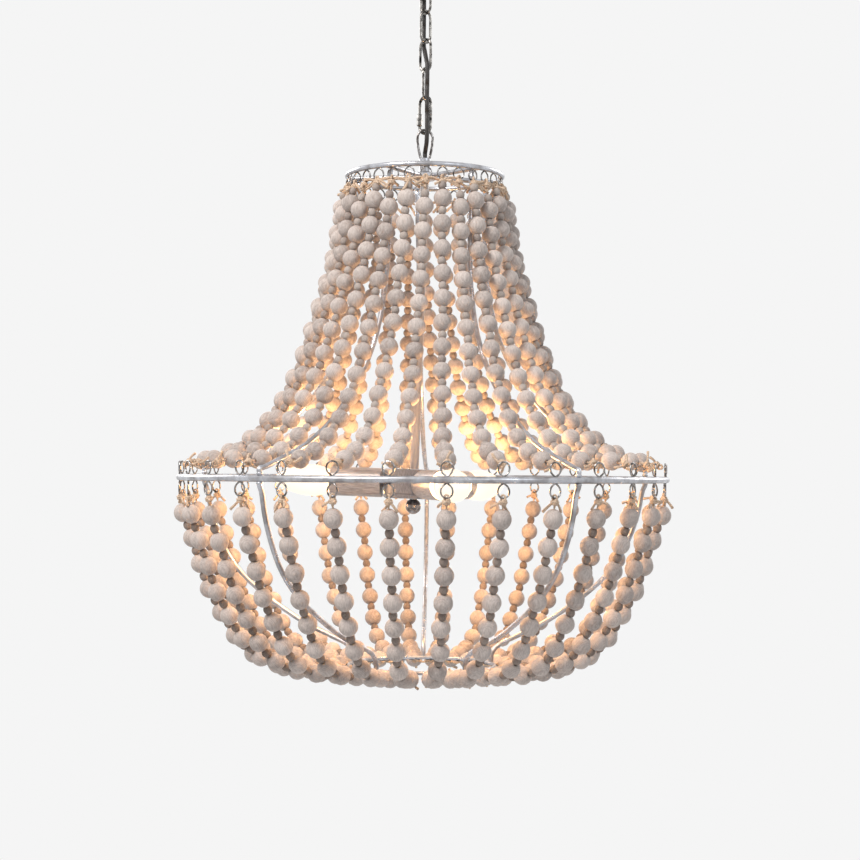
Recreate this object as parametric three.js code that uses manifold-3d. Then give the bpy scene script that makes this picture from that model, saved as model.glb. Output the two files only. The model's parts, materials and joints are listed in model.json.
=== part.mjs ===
// Beaded chandelier on a chain: a welded rod frame in the outline of a bell over a bowl, curtains of
// wooden beads on twine, a cluster of three candle lamps in the middle, and a ceiling rose above.
// Millimetres, +Z up. The origin is the middle of the ceiling face, and the front looks along -Y.

import * as THREE from 'three';
import { mergeVertices } from 'three/addons/utils/BufferGeometryUtils.js';
import Module from 'manifold-3d';

// Fits
const gap = 0.3; // between pieces that touch
const overrun = 1; // how far a cut runs past a face
const weld = 1; // how deep a rod runs into what it is welded to

// Facets
const ringSides = 6; // round a ring's rod
const ribSides = 5;
const wireSides = 6;
const strandSides = 4;
const cableSides = 8;
const midRingSteps = 60; // a multiple of the ribs, so that they all meet it alike
const topRingSteps = 36;
const bottomRingSteps = 30;
const smallSides = 8; // stubs
const roundSides = 12; // hubs, holders and balls
const sleeveSides = 14;
const bulbSides = 10;
const roseSides = 24;
const nutSides = 6;
const linkBendSteps = 6;
const loopBendSteps = 8;
const ballSteps = 6;

// Frame
const midRingRadius = 266; // to the rod's middle
const midRingRod = 7; // diameter
const topRingRadius = 85;
const topRingRod = 5.5;
const topRingHeight = 331.7; // above the middle ring
const bottomRingRadius = 80;
const bottomRingRod = 4;
const bottomRingDepth = 205; // below the middle ring
const ribRod = 5.5;
const ribCount = 5;
const ribInset = 11; // upper ribs start this far inside the top ring
const crownTurn = THREE.MathUtils.degToRad(8); // how far the top ring is twisted on the middle ring
const spiderHubRadius = 12;
const spiderHubHeight = 8;

// Bead curtains
const strandCount = 30;
const strandTurn = THREE.MathUtils.degToRad(4.9); // from the front to the first strand
const frontRibAngle = strandTurn + (2 * Math.PI * 2.5) / strandCount; // midway between two strands
const beadDiameter = 20;
const smallBeadDiameter = 10;
const beadPitch = 27.6; // about one large bead and one small one
const twineDiameter = 3; // doubled and knotted
const upperLead = 33; // from the top ring to the middle of the first large bead
const upperStagger = 9; // each second strand starts this much lower, so that the beads pass
const upperTail = 34; // from the middle of the last large bead to the middle ring
const lowerLead = 33; // from the middle ring to the middle of the first large bead
const lowerTail = 22;

// Lamps
const lampCount = 3;
const lampTurn = THREE.MathUtils.degToRad(-70);
const lampDrop = 6.3; // from the middle ring down to the middle of the lamps
const lampLean = THREE.MathUtils.degToRad(1.7); // the stem stands a little off upright
const lampHubRadius = 33;
const lampHubHeight = 32;
const lampStubRadius = 5;
const lampStubIn = 2; // how far a stub stands into its sleeve
const sleeveRadius = 16;
const sleeveWall = 1.4;
const sleeveBase = 2;
const sleeveLength = 58;
const sleeveStart = 35; // from the middle of the hub
const holderRadius = 13;
const holderSetback = 6; // from the sleeve's mouth
const bulbBaseRadius = 6.8;
const bulbBaseLength = 18;
const bulbRadius = 17.5;
const bulbGlassLength = 74;
const stemRadius = 4.8;
const stemBore = 3.2; // radius
const finialRadius = 8.5;
const finialNeckRadius = 4;
const finialNeckLength = 1;

// Hanging loop on the frame
const collarRadius = 6.5;
const collarHeight = 16;
const frameLoopRod = 3;
const frameLoopWidth = 20; // over the rod
const frameLoopInside = 29.5; // from the collar to the underside of the bend
const frameLoopFoot = 9.6; // between the middles of the two feet
const frameLoopTurn = THREE.MathUtils.degToRad(15);

// Chain
const linkRod = 3;
const linkInside = 32; // clear length
const linkWidth = 18; // over the rod
const linkTurns = [72, -41, 47, -47].map(THREE.MathUtils.degToRad); // from the quick link up
const quickRod = 3.5;
const quickInside = 36.6;
const quickWidth = 19;
const quickTurn = THREE.MathUtils.degToRad(-40);
const quickNutRadius = 3.3;
const quickNutLength = 13;
const quickNutLift = 1; // above the end of the lower bend, when closed

// Ceiling rose
const roseRadius = 62;
const roseHeight = 30;
const roseWall = 1.6;
const roseHole = 13.6; // radius
const roseLoopRod = 4;
const roseLoopWidth = 24; // over the rod
const roseLoopInside = 24; // from the barrel to the top of the bend
const roseLoopTurn = THREE.MathUtils.degToRad(47);
const barrelRadius = 13;
const barrelHeight = 12;
const barrelDrop = 6; // how far the barrel stands below the rose
const ringNutRadius = 18;
const ringNutHeight = 5;
const strapLength = 96;
const strapWidth = 16;
const strapThickness = 3;
const strapSlot = 5; // width
const strapSlotLength = 14;
const strapSlotOffset = 34;
const studRadius = 5;
const studBite = 8; // how far the stud goes into the barrel

// Supply cable
const cableDiameter = 5;
const cableOffset = 8.8; // beside the chain's middle

// Outlines, as shares of the distance between the rings outward, and of the frame's height
const upperStrandShares = [
  [0.033, 0.897], [0.075, 0.747], [0.122, 0.648], [0.204, 0.496], [0.309, 0.342], [0.384, 0.261],
  [0.459, 0.198], [0.558, 0.138], [0.691, 0.087], [0.834, 0.06], [0.939, 0.049], [0.994, 0.032],
];
const lowerStrandShares = [
  [0.981, 0.181], [0.925, 0.328], [0.876, 0.462], [0.822, 0.595], [0.747, 0.717],
  [0.66, 0.848], [0.575, 0.924], [0.47, 0.974], [0.36, 0.994], [0.231, 1.007], [0.1, 1.02],
];
const upperRibShares = [
  [-0.061, 0.899], [-0.055, 0.698], [-0.03, 0.59], [0.01, 0.497], [0.07, 0.416],
  [0.172, 0.324], [0.325, 0.228], [0.53, 0.137], [0.715, 0.084], [0.89, 0.049], [0.96, 0.035],
];
const lowerRibShares = [
  [0.985, 0.06], [0.955, 0.182], [0.908, 0.303], [0.835, 0.43], [0.735, 0.54], [0.6, 0.64],
  [0.45, 0.73], [0.3, 0.805], [0.15, 0.862], [0.045, 0.905], [0.008, 0.945],
];
const bulbShares = [
  [0.52, 0], [0.66, 0.07], [0.88, 0.2], [1, 0.34], [0.97, 0.48], [0.8, 0.66], [0.52, 0.82], [0.2, 0.95],
];
const roseShares = [[1, 0], [1, 0.2], [0.93, 0.42], [0.74, 0.7], [0.48, 0.88]];

// Finishes
const finishes = {
  silver: { color: 0xb4b6bb, roughness: 0.42, metalness: 0.85 },
  chainSteel: { color: 0x6b665f, roughness: 0.38, metalness: 0.9 },
  bead: { color: 0xb9aca0, roughness: 0.85, metalness: 0 },
  sleeve: { color: 0xc4bfb9, roughness: 0.55, metalness: 0.3 },
  ceramic: { color: 0xe9e6df, roughness: 0.5, metalness: 0 },
  glass: { color: 0xfff0d2, roughness: 0.1, metalness: 0 },
  cable: { color: 0x2b2320, roughness: 0.6, metalness: 0 },
};

const wasm = await Module();
wasm.setup();

// A geometry as a solid for joining and cutting.
function solidOf(geometry) {
  const bare = geometry.clone();
  bare.deleteAttribute('normal');
  bare.deleteAttribute('uv');
  const merged = mergeVertices(bare, 1e-4);
  return new wasm.Manifold(new wasm.Mesh({
    numProp: 3,
    vertProperties: merged.attributes.position.array,
    triVerts: new Uint32Array(merged.index.array),
  }));
}

// A joined or cut solid back as a geometry.
function geometryOf(solid) {
  const mesh = solid.getMesh();
  const geometry = new THREE.BufferGeometry();
  geometry.setAttribute('position', new THREE.BufferAttribute(mesh.vertProperties, 3));
  geometry.setIndex(new THREE.BufferAttribute(mesh.triVerts, 1));
  return geometry;
}

function join(...geometries) {
  return geometryOf(geometries.map(solidOf).reduce((a, b) => a.add(b)));
}

function cut(geometry, ...tools) {
  return geometryOf(tools.map(solidOf).reduce((a, b) => a.subtract(b), solidOf(geometry)));
}

// A profile of [radius, height] points, from the bottom up its outside, turned about +Z.
function turned(profile, sides) {
  const points = profile.map(([r, z]) => new THREE.Vector2(r, z));
  return new THREE.LatheGeometry(points, sides).rotateX(Math.PI / 2);
}

function rod(radius, bottom, top, sides) {
  return turned([[0, bottom], [radius, bottom], [radius, top], [0, top]], sides);
}

// A pipe about +Z, open at both ends.
function pipe(outer, inner, bottom, top, sides) {
  return turned([[inner, bottom], [outer, bottom], [outer, top], [inner, top], [inner, bottom]], sides);
}

// A tube of changing radius along points. A closed one lies in the plane square to +Y.
function sweep(points, radiusAt, sides, closed = false) {
  const count = points.length;
  const positions = [];
  const index = [];
  const side = new THREE.Vector3(0, 1, 0);
  points.forEach((point, i) => {
    const before = points[closed ? (i + count - 1) % count : Math.max(i - 1, 0)];
    const after = points[closed ? (i + 1) % count : Math.min(i + 1, count - 1)];
    const into = point.clone().sub(before).normalize();
    const out = after.clone().sub(point).normalize();
    const along = into.clone().add(out).normalize();
    if (i === 0 && !closed && Math.abs(along.dot(side)) > 0.9) side.set(1, 0, 0);
    side.addScaledVector(along, -side.dot(along)).normalize();
    const across = new THREE.Vector3().crossVectors(along, side);
    for (let k = 0; k < sides; k += 1) {
      const turn = (2 * Math.PI * k) / sides;
      const radius = radiusAt(i);
      const corner = point.clone()
        .addScaledVector(side, radius * Math.cos(turn))
        .addScaledVector(across, radius * Math.sin(turn));
      positions.push(corner.x, corner.y, corner.z);
    }
  });
  for (let i = 0; i < (closed ? count : count - 1); i += 1) {
    for (let k = 0; k < sides; k += 1) {
      const a = i * sides + k;
      const b = i * sides + ((k + 1) % sides);
      const next = ((i + 1) % count) * sides;
      const c = next + k;
      const d = next + ((k + 1) % sides);
      index.push(a, b, d, a, d, c);
    }
  }
  if (!closed) {
    const last = (count - 1) * sides;
    for (let k = 1; k < sides - 1; k += 1) {
      index.push(0, k + 1, k, last, last + k, last + k + 1);
    }
  }
  const geometry = new THREE.BufferGeometry();
  geometry.setAttribute('position', new THREE.Float32BufferAttribute(positions, 3));
  geometry.setIndex(index);
  return geometry;
}

// A place at a radius, a height and an angle from the front.
function polar(radius, height, angle) {
  return new THREE.Vector3(radius * Math.sin(angle), -radius * Math.cos(angle), height);
}

function ringOf(radius, rodDiameter, height, steps) {
  const points = Array.from({ length: steps }, (_, i) => {
    const turn = (2 * Math.PI * i) / steps;
    return new THREE.Vector3(radius * Math.cos(turn), 0, radius * Math.sin(turn));
  });
  return sweep(points, () => rodDiameter / 2, ringSides, true).rotateX(Math.PI / 2).translate(0, 0, height);
}

// A chain link standing in the XZ plane, with its middle at the origin.
function linkGeometry(inside, width, rodDiameter) {
  const bend = (width - rodDiameter) / 2;
  const straight = (inside + rodDiameter) / 2 - bend;
  const points = [];
  for (const end of [1, -1]) {
    for (let i = 0; i <= linkBendSteps; i += 1) {
      const turn = (Math.PI * i) / linkBendSteps + (end > 0 ? 0 : Math.PI);
      points.push(new THREE.Vector3(bend * Math.cos(turn), 0, bend * Math.sin(turn) + end * straight));
    }
  }
  return sweep(points, () => rodDiameter / 2, wireSides, true);
}

const lantern = new THREE.Group();
const object = new THREE.Group();

function place(group, name, finish, geometry) {
  const mesh = new THREE.Mesh(geometry, new THREE.MeshStandardMaterial(finishes[finish]));
  mesh.name = name;
  group.add(mesh);
  return mesh;
}

// The outline of shares between an inner ring and the middle ring, from one angle there and turned by a
// twist on the way to the inner ring.
function outline(shares, innerRadius, height, angle, twist) {
  return shares.map(([out, up]) => (
    polar(innerRadius + out * (midRingRadius - innerRadius), up * height, angle + twist * up)
  ));
}

function ribAngle(i) {
  return frontRibAngle + (2 * Math.PI * i) / ribCount;
}

// The top ring with its spokes and hub, welded in one piece.
function topRing() {
  const hubBottom = topRingHeight - spiderHubHeight / 2;
  const hub = rod(spiderHubRadius, hubBottom, hubBottom + spiderHubHeight, roundSides);
  const parts = [ringOf(topRingRadius, topRingRod, topRingHeight, topRingSteps), hub];
  for (let i = 0; i < ribCount; i += 1) {
    const angle = ribAngle(i) + crownTurn;
    const spoke = [
      polar(spiderHubRadius - weld, topRingHeight, angle),
      polar(topRingRadius, topRingHeight, angle),
    ];
    parts.push(sweep(spoke, () => ribRod / 2, ribSides));
  }
  return join(...parts);
}

// An upper rib, from under its spoke down to the top of the middle ring.
function upperRib(angle) {
  const ringTop = midRingRod / 2 + gap;
  const rib = [
    polar(topRingRadius - ribInset, topRingHeight - ribRod / 2 - gap, angle + crownTurn),
    ...outline(upperRibShares, topRingRadius, topRingHeight, angle, crownTurn),
    polar(midRingRadius, ringTop + ribRod, angle),
    polar(midRingRadius, ringTop, angle),
  ];
  return sweep(rib, () => ribRod / 2, ribSides);
}

// The bottom ring and the lower ribs, welded in one piece.
function lowerFrame() {
  const ribRadius = ribRod / 2;
  const parts = [ringOf(bottomRingRadius, bottomRingRod, -bottomRingDepth, bottomRingSteps)];
  for (let i = 0; i < ribCount; i += 1) {
    const angle = ribAngle(i);
    const rib = [
      polar(midRingRadius, -midRingRod / 2 - gap, angle),
      polar(midRingRadius, -midRingRod / 2 - gap - ribRadius, angle),
      ...outline(lowerRibShares, bottomRingRadius, -bottomRingDepth, angle, 0),
      polar(bottomRingRadius, -bottomRingDepth, angle),
    ];
    parts.push(sweep(rib, () => ribRadius, ribSides));
  }
  return join(...parts);
}

// The points and radii of one strand, from its start down its outline. Each large bead is a point at
// its middle, and the small bead beside it is the neck between two of them. A topped strand has one
// more small bead above the first large one.
function strandStations(points, lead, tail, topped) {
  const curve = new THREE.CatmullRomCurve3(points, false, 'centripetal');
  const length = curve.getLength();
  const pitches = Math.round((length - lead - tail) / beadPitch);
  const pitch = (length - lead - tail) / pitches;
  const thread = twineDiameter / 2;
  const large = beadDiameter / 2;
  const neck = smallBeadDiameter / 2;
  const stations = [{ at: 0, radius: thread }];
  if (topped) {
    stations.push({ at: lead - pitch / 2 - neck, radius: thread }, { at: lead - pitch / 2, radius: neck });
  } else {
    stations.push({ at: lead - large, radius: thread });
  }
  for (let i = 0; i <= pitches; i += 1) {
    stations.push({ at: lead + i * pitch, radius: large });
    if (i < pitches) stations.push({ at: lead + (i + 0.5) * pitch, radius: neck });
  }
  stations.push({ at: length - tail + large, radius: thread }, { at: length, radius: thread });
  return stations.map(({ at, radius }) => ({ point: curve.getPointAt(at / length), radius }));
}

// A string of stations as one closed form.
function beaded(stations) {
  return sweep(stations.map(({ point }) => point), (i) => stations[i].radius, strandSides);
}

function upperStrand(i) {
  const angle = strandTurn + (2 * Math.PI * i) / strandCount;
  const tail = gap + twineDiameter / 2;
  const points = [
    polar(topRingRadius, topRingHeight - topRingRod / 2 - tail, angle + crownTurn),
    ...outline(upperStrandShares, topRingRadius, topRingHeight, angle, crownTurn),
    polar(midRingRadius, midRingRod / 2 + tail, angle),
  ];
  return strandStations(points, upperLead + (i % 2) * upperStagger, upperTail, true);
}

function lowerStrand(i) {
  const angle = strandTurn + (2 * Math.PI * i) / strandCount;
  const tail = gap + twineDiameter / 2;
  const points = [
    polar(midRingRadius, -midRingRod / 2 - tail, angle),
    ...outline(lowerStrandShares, bottomRingRadius, -bottomRingDepth, angle, 0),
    polar(bottomRingRadius, -bottomRingDepth - bottomRingRod / 2 - tail, angle),
  ];
  return strandStations(points, lowerLead, lowerTail, false);
}

// Three neighbouring upper strands on one twine, which runs on from each to the next at the top ring.
function upperTrio(i) {
  const [first, second, third] = [upperStrand(i), upperStrand(i + 1), upperStrand(i + 2)];
  return join(beaded([...first.reverse(), ...second]), beaded([second[0], ...third]));
}

// Two neighbouring lower strands on one twine, which crosses over at the bottom ring.
function lowerPair(i) {
  return beaded([...lowerStrand(i), ...lowerStrand(i + 1).reverse()]);
}

function addStrands() {
  const numbered = (i, size) => String(i / size + 1).padStart(2, '0');
  for (let i = 0; i < strandCount; i += 3) {
    place(lantern, `upper_strands_${numbered(i, 3)}`, 'bead', upperTrio(i));
  }
  for (let i = 0; i < strandCount; i += 2) {
    place(lantern, `lower_strands_${numbered(i, 2)}`, 'bead', lowerPair(i));
  }
}

// The drum that carries the lamps on short stubs.
function lampHub() {
  const parts = [rod(lampHubRadius, -lampHubHeight / 2, lampHubHeight / 2, roundSides)];
  for (let i = 0; i < lampCount; i += 1) {
    const turn = lampTurn + (2 * Math.PI * i) / lampCount;
    const stubEnd = sleeveStart + sleeveBase + lampStubIn;
    const stub = rod(lampStubRadius, lampHubRadius - 2 * weld, stubEnd, smallSides);
    parts.push(stub.rotateY(Math.PI / 2).rotateZ(turn));
  }
  return join(...parts);
}

// One lamp, built along +Z from the middle of the hub and laid down by its group.
function addLamp(cluster, number, turn) {
  const lamp = new THREE.Group();
  lamp.rotation.set(0, Math.PI / 2, 0);
  const carrier = new THREE.Group();
  carrier.rotation.z = turn;
  carrier.add(lamp);
  cluster.add(carrier);

  const mouth = sleeveStart + sleeveLength;
  const inner = sleeveRadius - sleeveWall;
  const hole = lampStubRadius + gap;
  place(lamp, `candle_sleeve_${number}`, 'sleeve', turned([
    [hole, sleeveStart], [sleeveRadius, sleeveStart], [sleeveRadius, mouth], [inner, mouth],
    [inner, sleeveStart + sleeveBase], [hole, sleeveStart + sleeveBase], [hole, sleeveStart],
  ], sleeveSides));

  const holderFront = mouth - holderSetback;
  const socket = bulbBaseRadius + gap;
  const socketDepth = bulbBaseLength + gap;
  const shoulder = sleeveStart + sleeveBase + lampStubIn + gap;
  place(lamp, `lamp_holder_${number}`, 'ceramic', turned([
    [0, shoulder], [holderRadius, shoulder], [holderRadius, holderFront], [socket, holderFront],
    [socket, holderFront - socketDepth], [0, holderFront - socketDepth],
  ], roundSides));

  const glassStart = holderFront + gap;
  place(lamp, `bulb_${number}`, 'glass', turned([
    [0, glassStart - bulbBaseLength], [bulbBaseRadius, glassStart - bulbBaseLength],
    [bulbBaseRadius, glassStart],
    ...bulbShares.map(([r, z]) => [r * bulbRadius, glassStart + z * bulbGlassLength]),
    [0, glassStart + bulbGlassLength],
  ], bulbSides));
}

// The stem, hub, lamps and finial, built about the middle of the hub. They lean about the stem's top.
function addLampCluster() {
  const hubTop = lampHubHeight / 2;
  const spiderBottom = topRingHeight - spiderHubHeight / 2;
  const stemTop = spiderBottom + lampDrop;
  const leaning = new THREE.Group();
  leaning.position.z = spiderBottom;
  leaning.rotation.y = lampLean;
  const cluster = new THREE.Group();
  cluster.position.z = -stemTop;
  leaning.add(cluster);
  lantern.add(leaning);
  place(cluster, 'centre_stem', 'silver', pipe(stemRadius, stemBore, hubTop + gap, stemTop - gap, roundSides));
  place(cluster, 'lamp_hub', 'silver', lampHub());
  for (let i = 0; i < lampCount; i += 1) {
    addLamp(cluster, i + 1, lampTurn + (2 * Math.PI * i) / lampCount);
  }

  const neckTop = -hubTop - gap;
  const ballTop = neckTop - finialNeckLength;
  const ballMiddle = ballTop - Math.sqrt(finialRadius ** 2 - finialNeckRadius ** 2);
  const startTurn = Math.asin(finialNeckRadius / finialRadius);
  const profile = [[0, ballMiddle - finialRadius]];
  for (let i = 1; i <= ballSteps; i += 1) {
    const turn = Math.PI - ((Math.PI - startTurn) * i) / ballSteps;
    profile.push([finialRadius * Math.sin(turn), ballMiddle + finialRadius * Math.cos(turn)]);
  }
  profile.push([finialNeckRadius, neckTop], [0, neckTop]);
  place(cluster, 'finial_ball', 'silver', turned(profile, roundSides));
}

// The loop that the frame hangs by, on a collar over the spider's hub.
const collarBottom = topRingHeight + spiderHubHeight / 2 + gap;
const collarTop = collarBottom + collarHeight;
const frameLoopTop = collarTop + frameLoopInside; // underside of the bend

function frameLoop() {
  const radius = frameLoopRod / 2;
  const wide = frameLoopWidth / 2 - radius;
  const bendMiddle = frameLoopTop + radius - wide;
  const legLength = bendMiddle - collarTop;
  const legShares = [[0, 0.1], [0.35, 0.55]]; // of the way out from foot to bend, and up the leg
  const leg = (end) => [[0, -weld / legLength], ...legShares].map(([out, up]) => {
    const across = THREE.MathUtils.lerp(frameLoopFoot / 2, wide, out);
    return new THREE.Vector3(end * across, 0, collarTop + up * legLength);
  });
  const bend = Array.from({ length: loopBendSteps + 1 }, (_, i) => {
    const turn = (Math.PI * i) / loopBendSteps;
    return new THREE.Vector3(wide * Math.cos(turn), 0, bendMiddle + wide * Math.sin(turn));
  });
  const collar = rod(collarRadius, collarBottom, collarTop, roundSides);
  const loop = sweep([...leg(1), ...bend, ...leg(-1).reverse()], () => radius, wireSides);
  return join(collar, loop).rotateZ(frameLoopTurn);
}

// The chain, from the frame's loop up. Each link's clear opening starts a gap below the one before it.
const quickBottom = frameLoopTop - gap;
const quickTop = quickBottom + quickInside;
const linkBottoms = linkTurns.map((_, i) => quickTop - gap + i * (linkInside - gap));
const chainTop = linkBottoms[linkBottoms.length - 1] + linkInside;
const barrelBottom = chainTop - gap + roseLoopInside;
const lanternDrop = barrelBottom + barrelDrop + roseHeight; // from the ceiling to the middle ring

function addChain() {
  const quick = place(lantern, 'quick_link', 'chainSteel', linkGeometry(quickInside, quickWidth, quickRod));
  quick.position.z = quickBottom + quickInside / 2;
  quick.rotation.z = quickTurn;

  const side = (quickWidth - quickRod) / 2;
  const nutBottom = quickBottom - quickRod / 2 + side + quickNutLift;
  const nut = place(lantern, 'quick_link_nut', 'chainSteel',
    pipe(quickNutRadius, quickRod / 2 + gap, 0, quickNutLength, nutSides));
  nut.position.set(-side * Math.cos(quickTurn), -side * Math.sin(quickTurn), nutBottom);

  linkTurns.forEach((turn, i) => {
    const link = place(lantern, `chain_link_${i + 1}`, 'chainSteel',
      linkGeometry(linkInside, linkWidth, linkRod));
    link.position.z = linkBottoms[i] + linkInside / 2;
    link.rotation.z = turn;
  });
}

// The cable beside the chain, through the second link and into both collars.
function supplyCable() {
  const start = collarTop + gap;
  const end = barrelBottom - gap;
  const away = THREE.MathUtils.degToRad(-77.5);
  const route = [
    [0, start], [0, start + 3], [0, start + 5], [0.45, start + 10], [1, start + 18],
    [1, quickTop], [1, linkBottoms[1] + 4], [0.5, linkBottoms[1] + 10], [0, linkBottoms[1] + 16],
    [-0.5, linkBottoms[1] + 22], [-1, linkBottoms[1] + 28],
    [-1, linkBottoms[3]], [-1, end - 18], [-0.5, end - 11], [0, end - 7], [0, end - 3], [0, end],
  ].map(([out, z]) => new THREE.Vector3(
    out * cableOffset * Math.cos(away), out * cableOffset * Math.sin(away), z,
  ));
  const curve = new THREE.CatmullRomCurve3(route, false, 'centripetal');
  return sweep(curve.getPoints(route.length - 1), () => cableDiameter / 2, cableSides);
}

function rose() {
  const bottom = -roseHeight;
  const outer = roseShares.map(([r, z]) => [r * roseRadius, z * bottom]).reverse();
  const inner = roseShares.map(([r, z]) => [r * roseRadius - roseWall, z * (bottom + roseWall)]);
  return turned([
    [roseHole, bottom], ...outer, ...inner, [roseHole, bottom + roseWall], [roseHole, bottom],
  ], roseSides);
}

function strap() {
  const plate = new THREE.BoxGeometry(strapLength, strapWidth, strapThickness)
    .translate(0, 0, -strapThickness / 2);
  const barrelTop = barrelBottom + barrelHeight - lanternDrop;
  const stud = rod(studRadius, barrelTop - studBite, -strapThickness / 2, roundSides);
  const slotDepth = strapThickness + 2 * overrun;
  const slots = [-1, 1].map((end) => new THREE.BoxGeometry(strapSlotLength, strapSlot, slotDepth)
    .translate(end * strapSlotOffset, 0, -strapThickness / 2));
  return cut(join(plate, stud), ...slots);
}

function roseLoop() {
  const bottom = barrelBottom - lanternDrop;
  const radius = roseLoopRod / 2;
  const wide = roseLoopWidth / 2 - radius;
  const bendMiddle = bottom - roseLoopInside - radius + wide;
  const points = [new THREE.Vector3(wide, 0, bottom + weld)];
  for (let i = 0; i <= loopBendSteps; i += 1) {
    const turn = (Math.PI * i) / loopBendSteps;
    points.push(new THREE.Vector3(wide * Math.cos(turn), 0, bendMiddle - wide * Math.sin(turn)));
  }
  points.push(new THREE.Vector3(-wide, 0, bottom + weld));
  const top = bottom + barrelHeight;
  const barrel = rod(barrelRadius, bottom, top, roseSides);
  const bore = rod(studRadius + gap, top - studBite - gap, top + overrun, roundSides);
  return cut(join(barrel, sweep(points, () => radius, wireSides)), bore).rotateZ(roseLoopTurn);
}

function addRose() {
  place(object, 'rose_strap', 'chainSteel', strap());
  place(object, 'rose_loop', 'chainSteel', roseLoop());
  place(object, 'ceiling_rose', 'silver', rose());
  place(object, 'ring_nut', 'chainSteel', pipe(ringNutRadius, barrelRadius + gap,
    -roseHeight - gap - ringNutHeight, -roseHeight - gap, roseSides));
}

place(lantern, 'top_ring', 'silver', topRing());
for (let i = 0; i < ribCount; i += 1) {
  place(lantern, `upper_rib_${i + 1}`, 'silver', upperRib(ribAngle(i)));
}
place(lantern, 'middle_ring', 'silver', ringOf(midRingRadius, midRingRod, 0, midRingSteps));
place(lantern, 'lower_frame', 'silver', lowerFrame());
addStrands();
addLampCluster();
place(lantern, 'frame_loop', 'silver', frameLoop());
addChain();
place(lantern, 'supply_cable', 'cable', supplyCable());
addRose();

lantern.position.z = -lanternDrop;
object.add(lantern);

export default object;
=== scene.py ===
"""Beaded chandelier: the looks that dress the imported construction.

Each class is one sub-assembly of the light and holds its sizes. Lengths are metres, +Z is up, and the
origin is the middle of the ceiling face. Angles are turned from the front, towards +X.
"""

import json
import logging
import math
import random
from dataclasses import dataclass, field
from enum import Enum
from typing import Callable, Iterable, Sequence

import bmesh
import bpy
from bmesh.types import BMEdge, BMesh, BMVert
from bpy.types import Material, Mesh, Node, NodeSocket, NodeTree, Object
from mathutils import Matrix, Vector

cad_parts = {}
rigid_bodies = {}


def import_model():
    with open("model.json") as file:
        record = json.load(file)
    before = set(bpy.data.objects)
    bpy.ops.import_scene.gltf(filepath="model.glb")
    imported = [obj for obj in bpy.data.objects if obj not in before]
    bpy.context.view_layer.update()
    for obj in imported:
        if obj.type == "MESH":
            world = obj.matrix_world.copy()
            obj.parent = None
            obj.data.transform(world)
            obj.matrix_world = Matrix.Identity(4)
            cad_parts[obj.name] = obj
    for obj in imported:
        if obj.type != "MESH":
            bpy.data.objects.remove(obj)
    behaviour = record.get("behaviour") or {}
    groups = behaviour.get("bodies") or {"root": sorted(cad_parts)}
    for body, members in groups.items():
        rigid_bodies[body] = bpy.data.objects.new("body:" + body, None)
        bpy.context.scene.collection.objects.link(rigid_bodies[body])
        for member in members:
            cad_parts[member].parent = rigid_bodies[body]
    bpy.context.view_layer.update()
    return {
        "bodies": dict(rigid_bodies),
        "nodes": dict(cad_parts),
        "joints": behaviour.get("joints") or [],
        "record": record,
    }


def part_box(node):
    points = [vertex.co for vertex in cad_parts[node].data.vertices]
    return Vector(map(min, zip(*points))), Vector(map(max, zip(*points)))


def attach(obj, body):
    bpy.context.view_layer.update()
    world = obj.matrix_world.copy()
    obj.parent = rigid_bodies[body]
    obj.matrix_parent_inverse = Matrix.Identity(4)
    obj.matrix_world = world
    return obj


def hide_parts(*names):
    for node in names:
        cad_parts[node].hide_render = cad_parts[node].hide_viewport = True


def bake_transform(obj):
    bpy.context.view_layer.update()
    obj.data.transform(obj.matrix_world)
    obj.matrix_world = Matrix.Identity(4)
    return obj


MM = 0.001
IMAGE_SIZE = 860  # pixels, both ways
LANTERN = "lantern"

log = logging.getLogger("chandelier")


class Tier(Enum):
    """The two bead curtains."""

    UPPER = "upper"
    LOWER = "lower"


class Slot(Enum):
    """The record's material slots."""

    SILVER = "silver"
    CHAIN = "chain_steel"
    BEAD = "bead_wood"
    TWINE = "twine"
    SLEEVE = "sleeve"
    CERAMIC = "ceramic"
    GLASS = "bulb_glass"
    CAP = "bulb_cap"
    CABLE = "cable"


# Places and paths


def polar(radius: float, height: float, angle: float) -> Vector:
    """A place at a radius, a height and an angle from the front."""
    return Vector((radius * math.sin(angle), -radius * math.cos(angle), height))


def through(points: Sequence[Vector], steps: int = 12) -> list[Vector]:
    """Runs a smooth centripetal curve through points.

    Args:
        points: the places that the curve passes.
        steps: pieces between two of them.

    Returns:
        The curve's points, the given ones among them.
    """
    ends = [2 * points[0] - points[1], *points, 2 * points[-1] - points[-2]]
    line = []
    for before, start, end, after in zip(ends, ends[1:], ends[2:], ends[3:]):
        spans = [math.sqrt((b - a).length) for a, b in ((before, start), (start, end), (end, after))]
        first, middle, last = spans
        run = (end - start) / middle
        leave = ((start - before) / first - (end - before) / (first + middle) + run) * middle
        arrive = (run - (after - start) / (middle + last) + (after - end) / last) * middle
        for i in range(steps):
            t = i / steps
            line.append(
                start
                + leave * t
                + (3 * (end - start) - 2 * leave - arrive) * t**2
                + (2 * (start - end) + leave + arrive) * t**3
            )
    return [*line, points[-1].copy()]


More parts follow.
